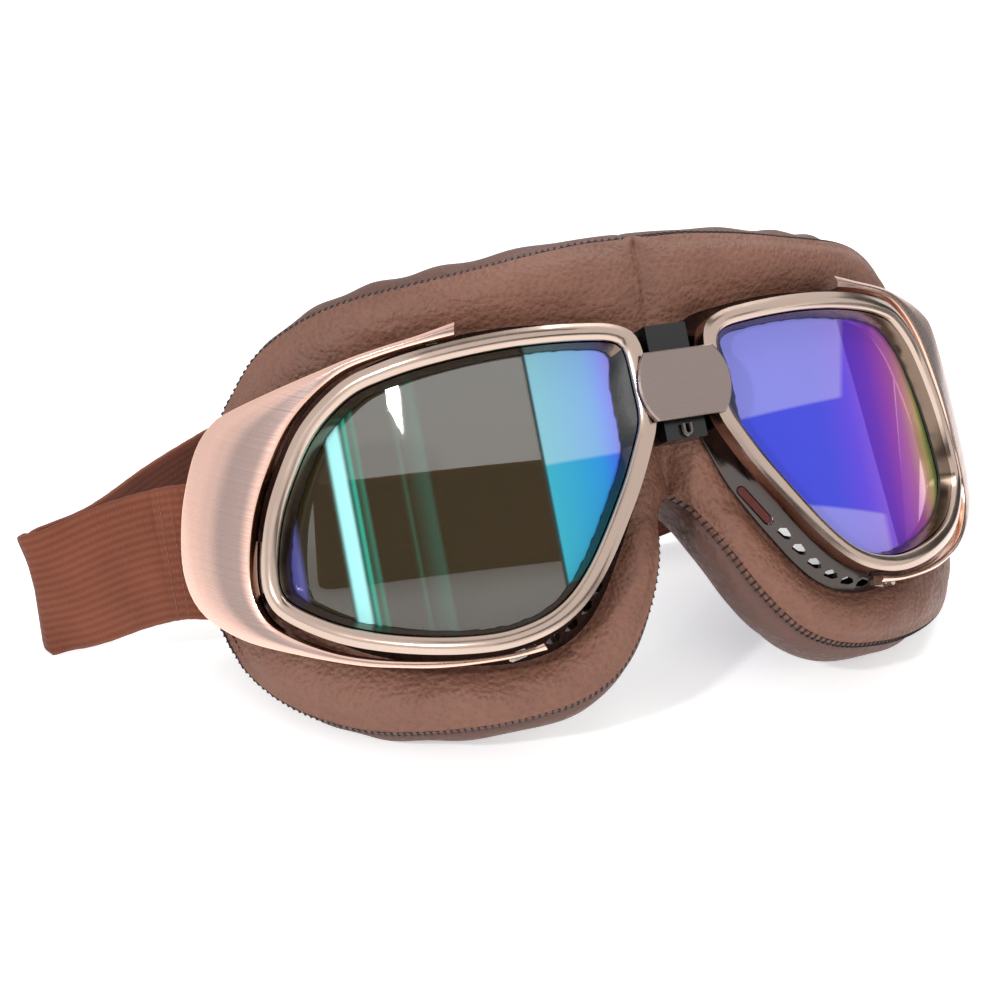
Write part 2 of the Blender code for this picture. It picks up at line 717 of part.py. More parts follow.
def arm_clip(side, upper):
    """Two pegs on a small foot behind an arm tip, which tie it to the housing."""
    at, ahead = (-2, -1) if upper else (1, 1)
    middle = 0.5 * (wing_inner[at] + wing_outer[at])
    first = wing_front + wing_thickness + fit_gap
    pieces = []
    for k in range(2):
        a = wing_angles[at] + ahead * k * peg_spacing / middle
        spot = frame_on_front(side * (eye_across + middle * math.cos(a)),
                              eye_up + middle * math.sin(a), first + peg_length / 2)
        bm = bmesh.new()
        rod(bm, peg_radius, peg_length, spot @ Matrix.Rotation(math.pi / 2, 4, "X"), peg_sides)
        pieces.append(bm)
    a = wing_angles[at] + ahead * 0.5 * peg_spacing / middle
    foot = bmesh.new()
    box(foot, (-peg_spacing / 2, peg_length / 2 - clip_foot, -peg_radius),
        (peg_spacing / 2, peg_length / 2, peg_radius))
    spot = frame_on_front(side * (eye_across + middle * math.cos(a)),
                          eye_up + middle * math.sin(a), first + peg_length / 2)
    foot.transform(spot @ Matrix.Rotation(-side * (a + math.pi / 2), 4, "Y"))
    pieces.append(foot)
    return pieces


bracket_front = wing_front + wing_thickness + 2 * fit_gap
window_height = strap_width + 2 * fit_gap


def bar_frame(side):
    return frame_on_front(side * bar_across, bar_up, bar_depth)


def strap_bracket(side):
    """Steel plate behind the wing with a window for the webbing, two lugs and a tongue."""
    frame = bar_frame(side)
    plate_front = bracket_front - bar_depth
    plate_back = plate_front + bracket_thickness
    half = strap_width / 2 + lug_gap
    lug_half = bar_radius + lug_wall
    pieces = []
    bm = bmesh.new()
    box(bm, (-bracket_half_width, plate_front, -half - lug_thickness),
        (bracket_half_width, plate_back, half + lug_thickness))
    pieces.append(bm)
    for up in (-half - lug_thickness, half):
        bm = bmesh.new()
        box(bm, (-lug_half, plate_back - overrun / 2, up),
            (lug_half, lug_half, up + lug_thickness))
        pieces.append(bm)
    bm = bmesh.new()
    tongue = side * -1
    near = tongue * (bracket_half_width - overrun)
    far = tongue * (bracket_half_width + tongue_reach)
    box(bm, (min(near, far), plate_front, -tongue_down - tongue_height / 2),
        (max(near, far), plate_back, -tongue_down + tongue_height / 2))
    pieces.append(bm)
    window = bmesh.new()
    box(window, (-window_half_width, plate_front - overrun, -window_height / 2),
        (window_half_width, plate_back + overrun, window_height / 2))
    bore = bmesh.new()
    rod(bore, bar_radius + running_gap, 2 * (half + lug_thickness + overrun), Matrix.Identity(4))
    return frame, pieces, (window, bore)


def strap_bar(side):
    bm = bmesh.new()
    rod(bm, bar_radius, strap_width + 2 * (lug_gap + lug_thickness), bar_frame(side))
    return bm


# The nose bridge
bridge_low = bridge_up - bridge_height / 2
bridge_high = bridge_up + bridge_height / 2
rim_nose = float(rim_radii(0.0, np.array([nose_side]))[0])
rim_nose_across = eye_across - rim_nose * abs(math.cos(nose_side))


def bridge_pieces():
    """Black block between the housings, with a tongue against the left rim."""
    block = bmesh.new()
    box(block, (-bridge_half_width, bridge_front, bridge_low),
        (bridge_half_width, bridge_back, bridge_high))
    tongue = bmesh.new()
    box(tongue, (fit_gap - rim_nose_across, bridge_front, bridge_up - ear_height),
        (overrun - bridge_half_width, rim_depth, bridge_up + ear_height))
    slot = bmesh.new()
    side_gap = 2 * fit_gap
    box(slot, (-ear_thickness / 2 - side_gap, hinge_depth - ear_thickness / 2 - side_gap,
               bridge_up - ear_height / 2 - fit_gap),
        (bridge_half_width + overrun, bridge_back + overrun, bridge_up + ear_height / 2 + fit_gap))
    bore = bmesh.new()
    rod(bore, hinge_pin_radius + running_gap, bridge_height + 2 * overrun,
        Matrix.Translation((0.0, hinge_depth, bridge_up)))
    return block, tongue, slot, bore


def ear_pieces():
    """Ear of the right half, bored for the hinge pin."""
    ear = bmesh.new()
    box(ear, (-ear_thickness / 2, hinge_depth - ear_thickness / 2, bridge_up - ear_height / 2),
        (ear_reach, hinge_depth + ear_thickness / 2, bridge_up + ear_height / 2))
    bore = bmesh.new()
    rod(bore, hinge_pin_radius + running_gap, ear_height + 2 * overrun,
        Matrix.Translation((0.0, hinge_depth, bridge_up)))
    return ear, bore


def hinge_pin():
    bm = bmesh.new()
    rod(bm, hinge_pin_radius, bridge_height, Matrix.Translation((0.0, hinge_depth, bridge_up)))
    return bm


def badge():
    """Round plate with its top and bottom cut flat."""
    outline = []
    half = badge_height / 2
    cut = math.asin(half / badge_radius)
    for first in (-cut, math.pi - cut):
        for k in range(badge_steps + 1):
            a = first + 2 * cut * k / badge_steps
            outline.append((math.cos(a) * badge_radius, math.sin(a) * badge_radius))
    rows = []
    for shrink, depth in ((badge_bevel, badge_front), (0.0, badge_front + badge_bevel),
                          (0.0, badge_front + badge_thickness)):
        factor = 1 - shrink / badge_radius
        rows.append([(x * factor, depth, badge_up + z * factor) for x, z in outline])
    return loft(rows, True, False)


def badge_post(up):
    bm = bmesh.new()
    front = badge_front + badge_thickness + fit_gap
    length = bridge_front - fit_gap - front
    spot = Matrix.Translation((0.0, front + length / 2, badge_up + up))
    rod(bm, post_radius, length, spot @ Matrix.Rotation(math.pi / 2, 4, "X"), post_sides)
    return bm


def hinge_clip():
    """Small wire clip, open at the top, below the badge."""
    front = bridge_front - fit_gap - clip_radius
    half = clip_width / 2 - clip_radius
    points = [(-half, front, clip_low + clip_height)]
    points += [(-half * math.cos(math.radians(30 * k)), front,
                clip_low + half * (1 - math.sin(math.radians(30 * k)))) for k in range(7)]
    points += [(half, front, clip_low + clip_height)]
    return tube_mesh(points, clip_radius, "clip")


# Strap
mask_lean = Matrix.Rotation(-lean, 4, "X")
roll_rows = {side: face_roll_rows(side) for side in (-1, 1)}
lowest = min((mask_lean @ p).z for rows in roll_rows.values() for row in rows for p in row)
mask_world = Matrix.Translation((0.0, 0.0, -lowest - stand_flat_depth)) @ mask_lean
strap_high = (mask_world @ bar_frame(1).translation).z - strap_width / 2


def strap_route():
    """Centre of the webbing and how much it leans, from the left bar to the right one."""
    rows = []
    ends = []
    for side in (-1, 1):
        frame = mask_world @ bar_frame(side)
        away = frame.to_3x3() @ (Matrix.Rotation(side * exit_turn, 3, "Z") @ Vector((side, 0, 0)))
        start = frame.translation
        run = start + away * exit_run
        ends.append([(*start, 1.0), (*run, 1.0)])
    rows += ends[0]
    rows += [(x * fold_across, y * loop_back, strap_width / 2 + h * strap_high, t)
             for x, y, h, t in strap_share]
    rows += ends[1][::-1]
    curve = spline(rows, strap_steps, False)
    curve[:, 2] = np.maximum(curve[:, 2], strap_width / 2)
    return curve


route = strap_route()
route_length = np.concatenate([[0], np.cumsum(np.linalg.norm(np.diff(route[:, :3], axis=0), axis=1))])
mask_up = np.array(mask_world.to_3x3() @ Vector((0, 0, 1)))


def on_route(length):
    """Centre and width direction of the webbing at a distance from the left bar."""
    inside = min(max(length, 0.0), route_length[-1])
    spot = np.array([np.interp(inside, route_length, route[:, k]) for k in range(4)])
    i = 0 if inside <= 0 else -2
    if inside != length:
        ahead = route[i + 1, :3] - route[i, :3]
        spot[:3] += ahead / np.linalg.norm(ahead) * (length - inside)
    width = spot[3] * mask_up + (1 - spot[3]) * np.array([0.0, 0.0, 1.0])
    return spot[:3], width / np.linalg.norm(width)


def stations(start, stop):
    """Distances along the route between two ends, at the route's own points."""
    inner = [s for s in route_length if start + strap_thickness / 2 < s < stop - strap_thickness / 2]
    return [start, *inner, stop]


def ribbon(spots, widths, width, thickness):
    """Webbing swept along its centre line."""
    spots = np.array(spots)
    ahead = np.gradient(spots, axis=0)
    rows = []
    for spot, way, up in zip(spots, ahead, widths):
        way = way / np.linalg.norm(way)
        up = up - way * np.dot(up, way)
        up = up / np.linalg.norm(up)
        side = np.cross(way, up)
        rows.append([Vector(spot + up * a * width / 2 + side * b * thickness / 2)
                     for a, b in ((-1, -1), (1, -1), (1, 1), (-1, 1))])
    return loft(rows, True, False)


def beside_route(length, aside):
    """Point beside the webbing's centre line, towards the outside of the loop."""
    spot, up = on_route(length)
    before, _ = on_route(length - strap_thickness)
    after, _ = on_route(length + strap_thickness)
    way = (after - before) / np.linalg.norm(after - before)
    out = np.cross(up, way)
    return spot + out / np.linalg.norm(out) * aside, up


def strap_end(side):
    """Doubled, sewn end of the webbing, which turns round the bar."""
    total = route_length[-1]
    turn = bar_radius + loop_gap + strap_thickness / 2
    close = (strap_thickness + fit_gap) / 2
    line = []
    for k in range(fold_steps):
        share = 1 - k / fold_steps
        aside = close + (turn - close) * max(0.0, 1 - share / turn_share) ** turn_ease_share
        line.append((doubled_length * share, aside))
    for k in range(turn_steps + 1):
        a = math.pi / 2 + math.pi * k / turn_steps
        line.append((turn * math.cos(a), turn * math.sin(a)))
    line += [(a, -b) for a, b in line[fold_steps - 1::-1]]
    spots, widths = [], []
    for length, aside in line:
        spot, up = beside_route(length if side < 0 else total - length, aside)
        spots.append(spot)
        widths.append(up)
    return ribbon(spots, widths, strap_width, strap_thickness)


def strap_piece(start, stop):
    spots = [on_route(s) for s in stations(start, stop)]
    return ribbon([s for s, _ in spots], [w for _, w in spots], strap_width, strap_thickness)


total_length = route_length[-1]
front_stretch = route_length > total_length / 2
middle_length = float(np.interp(0.0, route[front_stretch, 0], route_length[front_stretch]))
left_seam = doubled_length
right_seam = total_length - doubled_length
slider_at = total_length - slider_from_end - slider_length / 2


def frame_on_strap(length):
    """Matrix on the webbing: x along it towards the right wing, y to its inner side, z up."""
    spot, up = on_route(length)
    before, _ = on_route(length - slider_length / 2)
    after, _ = on_route(length + slider_length / 2)
    way = Vector(after - before).normalized()
    up = Vector(up)
    up = (up - way * up.dot(way)).normalized()
    side = up.cross(way)
    return Matrix.Translation(spot) @ Matrix((way, side, up)).transposed().to_4x4()


def strap_slider():
    """Steel sleeve round the webbing and its tail."""
    low = -(strap_thickness / 2 + slider_clearance)
    high = 1.5 * strap_thickness + slider_clearance + fit_gap
    half = strap_width / 2 + slider_clearance
    rows = []
    for x, grow in ((-1, 1), (1, 1), (1, 0), (-1, 0)):
        y0 = low - grow * slider_wall
        y1 = high + grow * slider_wall
        z = half + grow * slider_rim
        rows.append([(x * slider_length / 2, y0, -z), (x * slider_length / 2, y1, -z),
                     (x * slider_length / 2, y1, z), (x * slider_length / 2, y0, z)])
    return loft(rows, True, True)


def strap_tail():
    """Free end of the webbing, which lies behind it and moves with the slider."""
    aside = strap_thickness / 2 + slider_clearance
    bm = bmesh.new()
    box(bm, (-slider_length / 2 + fit_gap, aside, -strap_width / 2),
        (slider_length / 2 + tail_length, aside + strap_thickness, strap_width / 2))
    return bm


def seam_thread(side):
    """Edge thread along the stitched edge, as a curve."""
    order = [i for i in range(len(pad_angles)) if edge_spot[i, 0] > bridge_half_width / 2]
    gaps = np.diff(np.append(pad_angles[order], pad_angles[order][0] + 2 * math.pi))
    first = (int(np.argmax(gaps)) + 1) % len(order)
    order = order[first:] + order[:first]
    points = []
    for i in order:
        r = pad_edge[i] + thread_radius + fit_gap
        depth = pad_seam_depth[i] + leather_thickness / 2
        points.append(place(side * (eye_across + r * math.cos(pad_angles[i])),
                            eye_up + r * math.sin(pad_angles[i]), depth))
    return points


def tube_mesh(points, radius, name):
    """Mesh of a tube along the points, welded and closed."""
    curve = bpy.data.curves.new(name, "CURVE")
    curve.dimensions = "3D"
    curve.bevel_depth = radius
    curve.bevel_resolution = 1
    curve.use_fill_caps = True
    line = curve.splines.new("POLY")
    line.points.add(len(points) - 1)
    for spot, p in zip(line.points, points):
        spot.co = (*p, 1.0)
    holder = bpy.data.objects.new(name + "_curve", curve)
    bpy.context.scene.collection.objects.link(holder)
    graph = bpy.context.evaluated_depsgraph_get()
    mesh = bpy.data.meshes.new_from_object(holder.evaluated_get(graph))
    bpy.data.objects.remove(holder, do_unlink=True)
    bm = bmesh.new()
    bm.from_mesh(mesh)
    bpy.data.meshes.remove(mesh)
    return bm


# Assembly
def empty(name, world, parent=None):
    obj = bpy.data.objects.new(name, None)
    bpy.context.scene.collection.objects.link(obj)
    if parent:
        obj.parent = parent[0]
        obj.matrix_parent_inverse = parent[1].inverted()
    obj.matrix_basis = world
    return obj, world


def joint_frame(spot, up):
    """Matrix at a joint with its z axis along the joint's axis."""
    return Matrix.Translation(spot) @ up.to_track_quat("Z", "Y").to_matrix().to_4x4()


stand = empty("stand", Matrix.Identity(4))
mask = empty("mask", mask_world, stand)
nose_axis = mask_world @ Matrix.Translation((0.0, hinge_depth, bridge_up))
right_half = empty("nose_flex", nose_axis, mask)
up_axis = Vector((0.0, 0.0, 1.0))
left_strap = empty("strap_swing_left", joint_frame(on_route(left_seam)[0], up_axis), stand)
right_strap = empty("strap_swing_right", joint_frame(on_route(right_seam)[0], up_axis), right_half)

carrier = {-1: mask, 1: right_half}
name_of = {-1: "left", 1: "right"}


def add(name, bm, mat, parent, world=mask_world, angle=math.radians(35)):
    return new_object(name, mesh_from(bm, name, angle), mat, world, *parent)


floor_cut = bmesh.new()
reach = pad_half_width + roll_swell + overrun
box(floor_cut, (-reach, -reach, -reach), (reach, reach, 0.0))
floor_cutter = cutter("floor_cut", floor_cut, Matrix.Identity(4))

for side in (-1, 1):
    which = name_of[side]
    parent = carrier[side]
    add("rim_" + which, rim(side), copper, parent)
    add("lens_" + which, lens(side), mirror_left if side < 0 else mirror_right, parent)
    add("lens_seal_" + which, seal(side), rubber, parent)
    cup = add("housing_" + which, housing_body(side), dark_chrome, parent)
    slot_world = mask_world @ vent_frame(side, slot_from_nose, slot_up_share)
    slot = prism(slot_outline(slot_length, slot_height), -vent_cut / 2, vent_cut / 2)
    boolean(cup, cutter("slot_cut_" + which, slot, slot_world))
    for k in range(fin_count):
        fin = prism([(-a * fin_length, b * fin_height) for a, b in fin_share],
                    -vent_cut / 2, vent_cut / 2)
        fin_world = mask_world @ vent_frame(side, fins_from_nose + k * fin_pitch, fin_up_share)
        boolean(cup, cutter(f"fin_cut_{which}_{k + 1}", fin, fin_world))
    strip = prism(slot_outline(slot_length - 2 * fit_gap, slot_height - 2 * fit_gap),
                  -fit_gap - foam_strip_depth, -fit_gap)
    add("vent_foam_" + which, strip, red_foam, parent, slot_world)
    add("wing_" + which, wing(side), brushed_copper, parent)
    for level, upper in (("lower", False), ("upper", True)):
        pieces = arm_clip(side, upper)
        clip = add(f"arm_clip_{level}_{which}", pieces[2], steel, parent)
        for k, piece in enumerate(pieces[:2]):
            boolean(clip, cutter(f"clip_peg_{level}_{which}_{k + 1}", piece, mask_world), "UNION")
    frame, pieces, cuts = strap_bracket(side)
    bracket = add("strap_bracket_" + which, pieces[0], steel, parent, mask_world @ frame)
    for k, piece in enumerate(pieces[1:]):
        boolean(bracket, cutter(f"bracket_part_{which}_{k + 1}", piece, mask_world @ frame), "UNION")
    for k, piece in enumerate(cuts):
        boolean(bracket, cutter(f"bracket_cut_{which}_{k + 1}", piece, mask_world @ frame))
    add("strap_bar_" + which, strap_bar(side), steel, parent)
    add("pad_front_" + which, pad_front(side), leather, parent)
    add("pad_foam_" + which, pad_foam(side), foam, parent)
    roll = add("face_roll_" + which, loft(roll_rows[side], True, True), dark_leather, parent)
    boolean(roll, floor_cutter)
    add("seam_thread_" + which, tube_mesh(seam_thread(side), thread_radius, "thread"), thread, parent)
    add("strap_end_" + which, strap_end(side), webbing, parent, Matrix.Identity(4))

block, tongue, slot, bore = bridge_pieces()
bridge = add("bridge_block", block, black_plastic, mask)
boolean(bridge, cutter("bridge_tongue", tongue, mask_world), "UNION")
boolean(bridge, cutter("bridge_slot", slot, mask_world))
boolean(bridge, cutter("bridge_bore", bore, mask_world))
add("hinge_pin", hinge_pin(), steel, mask)
ear_shape, bore = ear_pieces()
ear = add("hinge_ear_right", ear_shape, black_plastic, right_half)
boolean(ear, cutter("ear_bore", bore, mask_world))
add("hinge_clip", hinge_clip(), steel, mask)
add("badge", badge(), brushed_copper, mask)
add("badge_post_lower", badge_post(-badge_height / 4), steel, mask)
add("badge_post_upper", badge_post(badge_height / 4), steel, mask)

add("strap_left", strap_piece(left_seam + seam_gap, middle_length - open_gap / 2), webbing,
    left_strap, Matrix.Identity(4))
add("strap_right", strap_piece(middle_length + open_gap / 2, right_seam - seam_gap), webbing,
    right_strap, Matrix.Identity(4))
slider_world = frame_on_strap(slider_at)
add("strap_slider", strap_slider(), steel, right_strap, slider_world)
add("strap_tail", strap_tail(), webbing, right_strap, slider_world)

corners = np.array([obj.matrix_basis @ v.co for obj in goggles.objects for v in obj.data.vertices])
middle = (corners.min(axis=0) + corners.max(axis=0)) / 2
stand[0].location = (-middle[0], -middle[1], 0.0)
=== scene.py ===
"""Looks for the leather riding goggles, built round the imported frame. Metres, +Z up, front -Y."""

import math

import bmesh
import bpy
import numpy as np
from mathutils import Euler, Matrix, Vector


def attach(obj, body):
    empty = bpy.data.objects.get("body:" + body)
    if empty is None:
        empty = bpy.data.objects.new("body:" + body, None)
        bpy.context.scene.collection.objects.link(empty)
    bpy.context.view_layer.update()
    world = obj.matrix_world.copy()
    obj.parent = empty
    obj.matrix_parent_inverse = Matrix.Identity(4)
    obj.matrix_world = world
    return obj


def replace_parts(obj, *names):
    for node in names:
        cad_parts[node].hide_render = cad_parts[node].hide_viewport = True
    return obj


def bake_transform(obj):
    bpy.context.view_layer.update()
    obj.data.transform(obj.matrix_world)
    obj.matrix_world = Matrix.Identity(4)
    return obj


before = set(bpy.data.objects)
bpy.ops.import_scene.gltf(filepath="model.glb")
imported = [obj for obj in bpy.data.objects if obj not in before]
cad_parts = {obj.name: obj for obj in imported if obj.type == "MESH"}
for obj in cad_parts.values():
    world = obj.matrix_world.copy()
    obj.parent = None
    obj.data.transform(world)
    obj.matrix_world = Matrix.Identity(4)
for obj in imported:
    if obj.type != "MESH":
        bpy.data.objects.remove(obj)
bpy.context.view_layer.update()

# Mesh fineness
eye_steps = 160
pad_steps = 360
wing_steps = 110
arc_steps = 12
strap_steps = 10
leather_rows = 22

# The drawing's sizes, as in the part
MM = 0.001
flat_half = 17.6 * MM  # the front is straight this far from the middle
wrap_radius = 62.9 * MM  # radius where the wrap begins; it opens out towards the temples
lean = math.radians(32.6)  # the mask leans back by this much
rim_width = 85.5 * MM
rim_height = 59.0 * MM
eye_across = 49.0 * MM  # middle of the rim, from the middle of the mask
eye_up = 1.5 * MM
rim_lip = 3.3 * MM  # width of the copper lip in front of the lens
rim_depth = 4.5 * MM
rim_crown = 0.9 * MM
rim_shoulder_share = 0.33  # the outer wall runs up to this share of the rim's depth
fit_gap = 0.3 * MM  # left between pieces that touch
soft_gap = 0.5 * MM  # and between soft pieces
lens_overlap = 1.1 * MM  # how far the lens reaches under the lip
lens_thickness = 1.7 * MM
seal_width = 0.8 * MM
seal_depth = 2.9 * MM
seal_boss = 2.6 * MM  # swelling of the seal beside the badge
seal_boss_height = 9.0 * MM
housing_depth = 10.4 * MM  # back of the housing behind the front
flange_thickness = 1.2 * MM
housing_wall = 1.6 * MM
shelf_width = 2.3 * MM
shelf_thickness = 1.1 * MM
wall_inset = 0.4 * MM  # the wall starts this far inside the rim's outline
wall_waist = 0.3 * MM  # and is this far outside it where the flare begins
waist_share = 0.35  # share of the wall's depth where the flare begins
flange_reach = 2.6 * MM  # how far the flange stands out round most of the rim
vent_flange_reach = 3.9 * MM  # and along the lower nose side, where the vents are
nose_flange_reach = 1.2 * MM  # and beside the nose bridge
vent_side = math.radians(-137)  # direction of the vents from the eye's middle
vent_spread = math.radians(62)
nose_side = math.radians(167)  # direction of the nose bridge
nose_spread = math.radians(26)
flange_rest = 2.0 * MM  # width of the flange's back, which clamps the leather
slot_length = 10.4 * MM
slot_height = 2.1 * MM
slot_from_nose = 27.0 * MM  # along the rim's outline from the side of the nose bridge
slot_up_share = 0.62  # share of the flare's height where the slot lies
fin_length = 3.3 * MM
fin_height = 2.0 * MM
fin_count = 6
fin_pitch = 4.6 * MM
fins_from_nose = 35.5 * MM
fin_up_share = 0.40
vent_tilt = math.radians(52.0)  # direction in which a vent is bored, from sideways to forwards
vent_cut = 6.0 * MM  # length of a vent's cutter
foam_strip_depth = 1.4 * MM
wing_reach = 111.5 * MM  # end of the wing, measured round the front
wing_height = 64.0 * MM
wing_front = 0.3 * MM  # the wing's face lies this far behind the rim's
wing_thickness = 2.4 * MM
wing_round = 0.45 * MM
wing_gap_tip = 0.9 * MM  # gap to the rim at the arm tips
wing_gap_temple = 2.7 * MM  # gap to the rim at the temple
wing_gap_spread = math.radians(95)
bar_across = 99.5 * MM
bar_depth = 6.8 * MM
bar_radius = 1.5 * MM
bar_up = 2.2 * MM
bridge_half_width = 4.4 * MM
bridge_up = 16.8 * MM  # middle of the bridge block
badge_up = 15.7 * MM
pad_half_width = 115.6 * MM  # round the front, to the pad's outer edge
pad_top = 48.2 * MM
pad_bottom = 42.0 * MM
pad_notch_up = -4.0 * MM  # top of the nose notch
leather_thickness = 2.2 * MM
edge_border = 1.3 * MM  # the leather stands out past the stitches at the temples
border_start_share = 0.2
pad_crown = 3.2 * MM  # how far the front leather swells
pad_tuck = 1.6 * MM  # how far the leather reaches under the flange
seam_depth = 8.8 * MM  # depth of the stitched edge
notch_set_back = 7.4 * MM  # the stitched edge is deeper at the nose notch
notch_spread = 11.0 * MM
temple_set_back = 3.6 * MM  # and behind the wings, where the strap passes
temple_spread = math.radians(22)
temple_ease_share = 0.5  # how soon the leather falls back there
crown_width = 13.0 * MM  # the leather swells fully where it is this wide
crown_ease_share = 0.75
bridge_set_back = 2.6 * MM  # the leather lies deeper behind the nose bridge
bridge_spread = 17.0 * MM
roll_depth = 17.5 * MM  # thickness of the face roll behind the front leather
roll_swell = 2.4 * MM  # how far the face roll stands out past the stitched edge
roll_swell_top = 3.8 * MM  # and how far along the top
roll_share = 0.60  # share of the pad's width that the face roll covers
foam_thickness = 4.0 * MM
strap_width = 28.0 * MM
strap_thickness = 1.7 * MM
loop_gap = 0.35 * MM
fold_across = 124.0 * MM  # the strap's fold beyond the left wing
loop_back = 125.0 * MM  # furthest reach of the strap behind the mask
doubled_length = 21.0 * MM  # sewn end, from the bar to the seam
slider_length = 12.0 * MM
slider_clearance = 0.7 * MM
tail_length = 10.0 * MM  # webbing that runs on past the slider
turn_share = 0.45  # share of the sewn end that opens out round the bar
turn_ease_share = 1.5
exit_run = 7.0 * MM  # the webbing leaves its bar straight for this length
exit_turn = math.radians(12.0)  # turned in from the wing by this much
rim_outline_share = [
    (-0.499, 0.246), (-0.496, 0.136), (-0.469, 0.041), (-0.408, -0.114), (-0.299, -0.332),
    (-0.204, -0.449), (-0.092, -0.497), (0.032, -0.493), (0.187, -0.449), (0.329, -0.380),
    (0.450, -0.280), (0.494, -0.203), (0.498, -0.105), (0.465, 0.054), (0.409, 0.195),
    (0.326, 0.341), (0.211, 0.446), (0.104, 0.481), (-0.030, 0.497), (-0.199, 0.500),
    (-0.363, 0.486), (-0.448, 0.464), (-0.491, 0.407)]
fin_share = [(-0.50, -0.05), (-0.20, -0.42), (0.45, -0.50),
             (0.50, 0.05), (0.25, 0.50), (-0.25, 0.35)]
roll_back_share = [(1.0, 0.50), (0.80, 0.86), (0.45, 1.0), (0.10, 0.88)]
roll_side_share = [(0.70, 0.62), (1.0, 0.35), (0.75, 0.12)]
wing_outline_share = [
    (0.330, -0.462), (0.400, -0.468), (0.505, -0.458), (0.586, -0.434), (0.664, -0.403),
    (0.779, -0.337), (0.879, -0.269), (0.948, -0.192), (0.983, -0.122), (0.998, -0.040),
    (0.997, 0.045), (0.979, 0.167), (0.947, 0.283), (0.914, 0.366), (0.870, 0.422),
    (0.829, 0.441), (0.738, 0.464), (0.635, 0.488), (0.574, 0.503), (0.510, 0.513),
    (0.447, 0.522), (0.380, 0.538)]
pad_top_share = [
    (0.000, 1.000), (0.087, 1.000), (0.166, 0.983), (0.308, 0.952), (0.430, 0.935),
    (0.543, 0.927), (0.626, 0.908), (0.705, 0.866), (0.775, 0.797), (0.830, 0.690),
    (0.885, 0.570), (0.940, 0.388), (0.982, 0.150)]
pad_bottom_share = [
    (1.000, -0.120), (0.992, -0.270), (0.965, -0.410), (0.915, -0.565), (0.815, -0.760),
    (0.685, -0.908), (0.543, -0.975), (0.395, -1.000), (0.265, -0.965), (0.171, -0.850),
    (0.109, -0.643), (0.065, -0.407), (0.033, -0.190)]
strap_share = [
    (-0.758, 0.396, 0.74, 0.90),
    (-0.839, 0.456, 0.50, 0.62), (-0.927, 0.512, 0.18, 0.25), (-0.978, 0.548, 0.04, 0.05),
    (-0.984, 0.566, 0.00, 0.00), (-0.974, 0.592, 0.00, 0.00), (-0.873, 0.652, 0.00, 0.00),
    (-0.751, 0.788, 0.00, 0.00), (-0.649, 0.888, 0.00, 0.00), (-0.578, 0.949, 0.00, 0.00),
    (-0.487, 0.999, 0.00, 0.00), (-0.395, 0.979, 0.00, 0.00), (-0.355, 0.898, 0.00, 0.00),
    (-0.385, 0.788, 0.00, 0.00), (-0.435, 0.688, 0.00, 0.00), (-0.463, 0.622, 0.00, 0.00),
    (-0.458, 0.600, 0.00, 0.00), (-0.416, 0.592, 0.00, 0.00), (-0.203, 0.572, 0.00, 0.00),
    (0.000, 0.548, 0.00, 0.00), (0.100, 0.537, 0.02, 0.00), (0.190, 0.535, 0.10, 0.00),
    (0.290, 0.540, 0.22, 0.00), (0.390, 0.545, 0.34, 0.00), (0.490, 0.550, 0.46, 0.00),
    (0.590, 0.555, 0.58, 0.00), (0.680, 0.558, 0.62, 0.05),
    (0.762, 0.549, 0.62, 0.20), (0.812, 0.507, 0.64, 0.45), (0.808, 0.447, 0.68, 0.72),
    (0.758, 0.396, 0.75, 0.90)]


def unit(vector):
    return vector / np.linalg.norm(vector)


def lengths_along(points):
    """Length of the open row of points up to each of them."""
    return np.concatenate([[0], np.cumsum(np.linalg.norm(np.diff(points, axis=0), axis=1))])


def spline(points, steps, closed):
    """Catmull-Rom curve through the points, as an array of rows."""
    pts = np.array(points, float)
    count = len(pts)
    rows = []
    for i in range(count if closed else count - 1):
        near = [(i + k) % count if closed else min(max(i + k, 0), count - 1) for k in range(-1, 3)]
        a, b, c, d = pts[near]
        for k in range(steps):
            t = k / steps
            rows.append(0.5 * (2 * b + (c - a) * t + (2 * a - 5 * b + 4 * c - d) * t ** 2
                               + (3 * b - a - 3 * c + d) * t ** 3))
    if not closed:
        rows.append(pts[-1])
    return np.array(rows)


def offset_loop(loop, distance):
    """The closed loop moved outwards by a distance; the loop runs anticlockwise."""
    ahead = np.roll(loop, -1, axis=0) - np.roll(loop, 1, axis=0)
    ahead /= np.linalg.norm(ahead, axis=1)[:, None]
    return loop + np.stack([ahead[:, 1], -ahead[:, 0]], 1) * distance


eye = np.array([eye_across, eye_up])
rim_loop = spline([(eye_across + a * rim_width, eye_up + b * rim_height)
                   for a, b in rim_outline_share], 12, True)


def radii(loop, angles):
    """Distance from the eye's middle to the loop in each direction."""
    rel = loop - eye
    direction = np.arctan2(rel[:, 1], rel[:, 0])
    order = np.argsort(direction)
    return np.interp(angles, direction[order], np.hypot(rel[:, 0], rel[:, 1])[order],
                     period=2 * math.pi)


def even_angles(loop, count):
    """Directions from the eye's middle that space points evenly along the loop."""
    closed = np.vstack([loop, loop[:1]])
    along = lengths_along(closed)
    wanted = np.arange(count) * along[-1] / count
    pts = np.stack([np.interp(wanted, along, closed[:, k]) for k in (0, 1)], 1) - eye
    return np.sort(np.arctan2(pts[:, 1], pts[:, 0]))


def front_at(across):
    """Plan place of a distance across the front: sideways, backwards and the slope there."""
    if across <= flat_half:
        return across, 0.0, 0.0
    run = across - flat_half
    side = run
    for _ in range(12):
        a = side / wrap_radius
        length = wrap_radius / 2 * (a * math.sqrt(1 + a * a) + math.asinh(a))
        side -= (length - run) / math.sqrt(1 + a * a)
    return flat_half + side, side * side / (2 * wrap_radius), math.atan(side / wrap_radius)


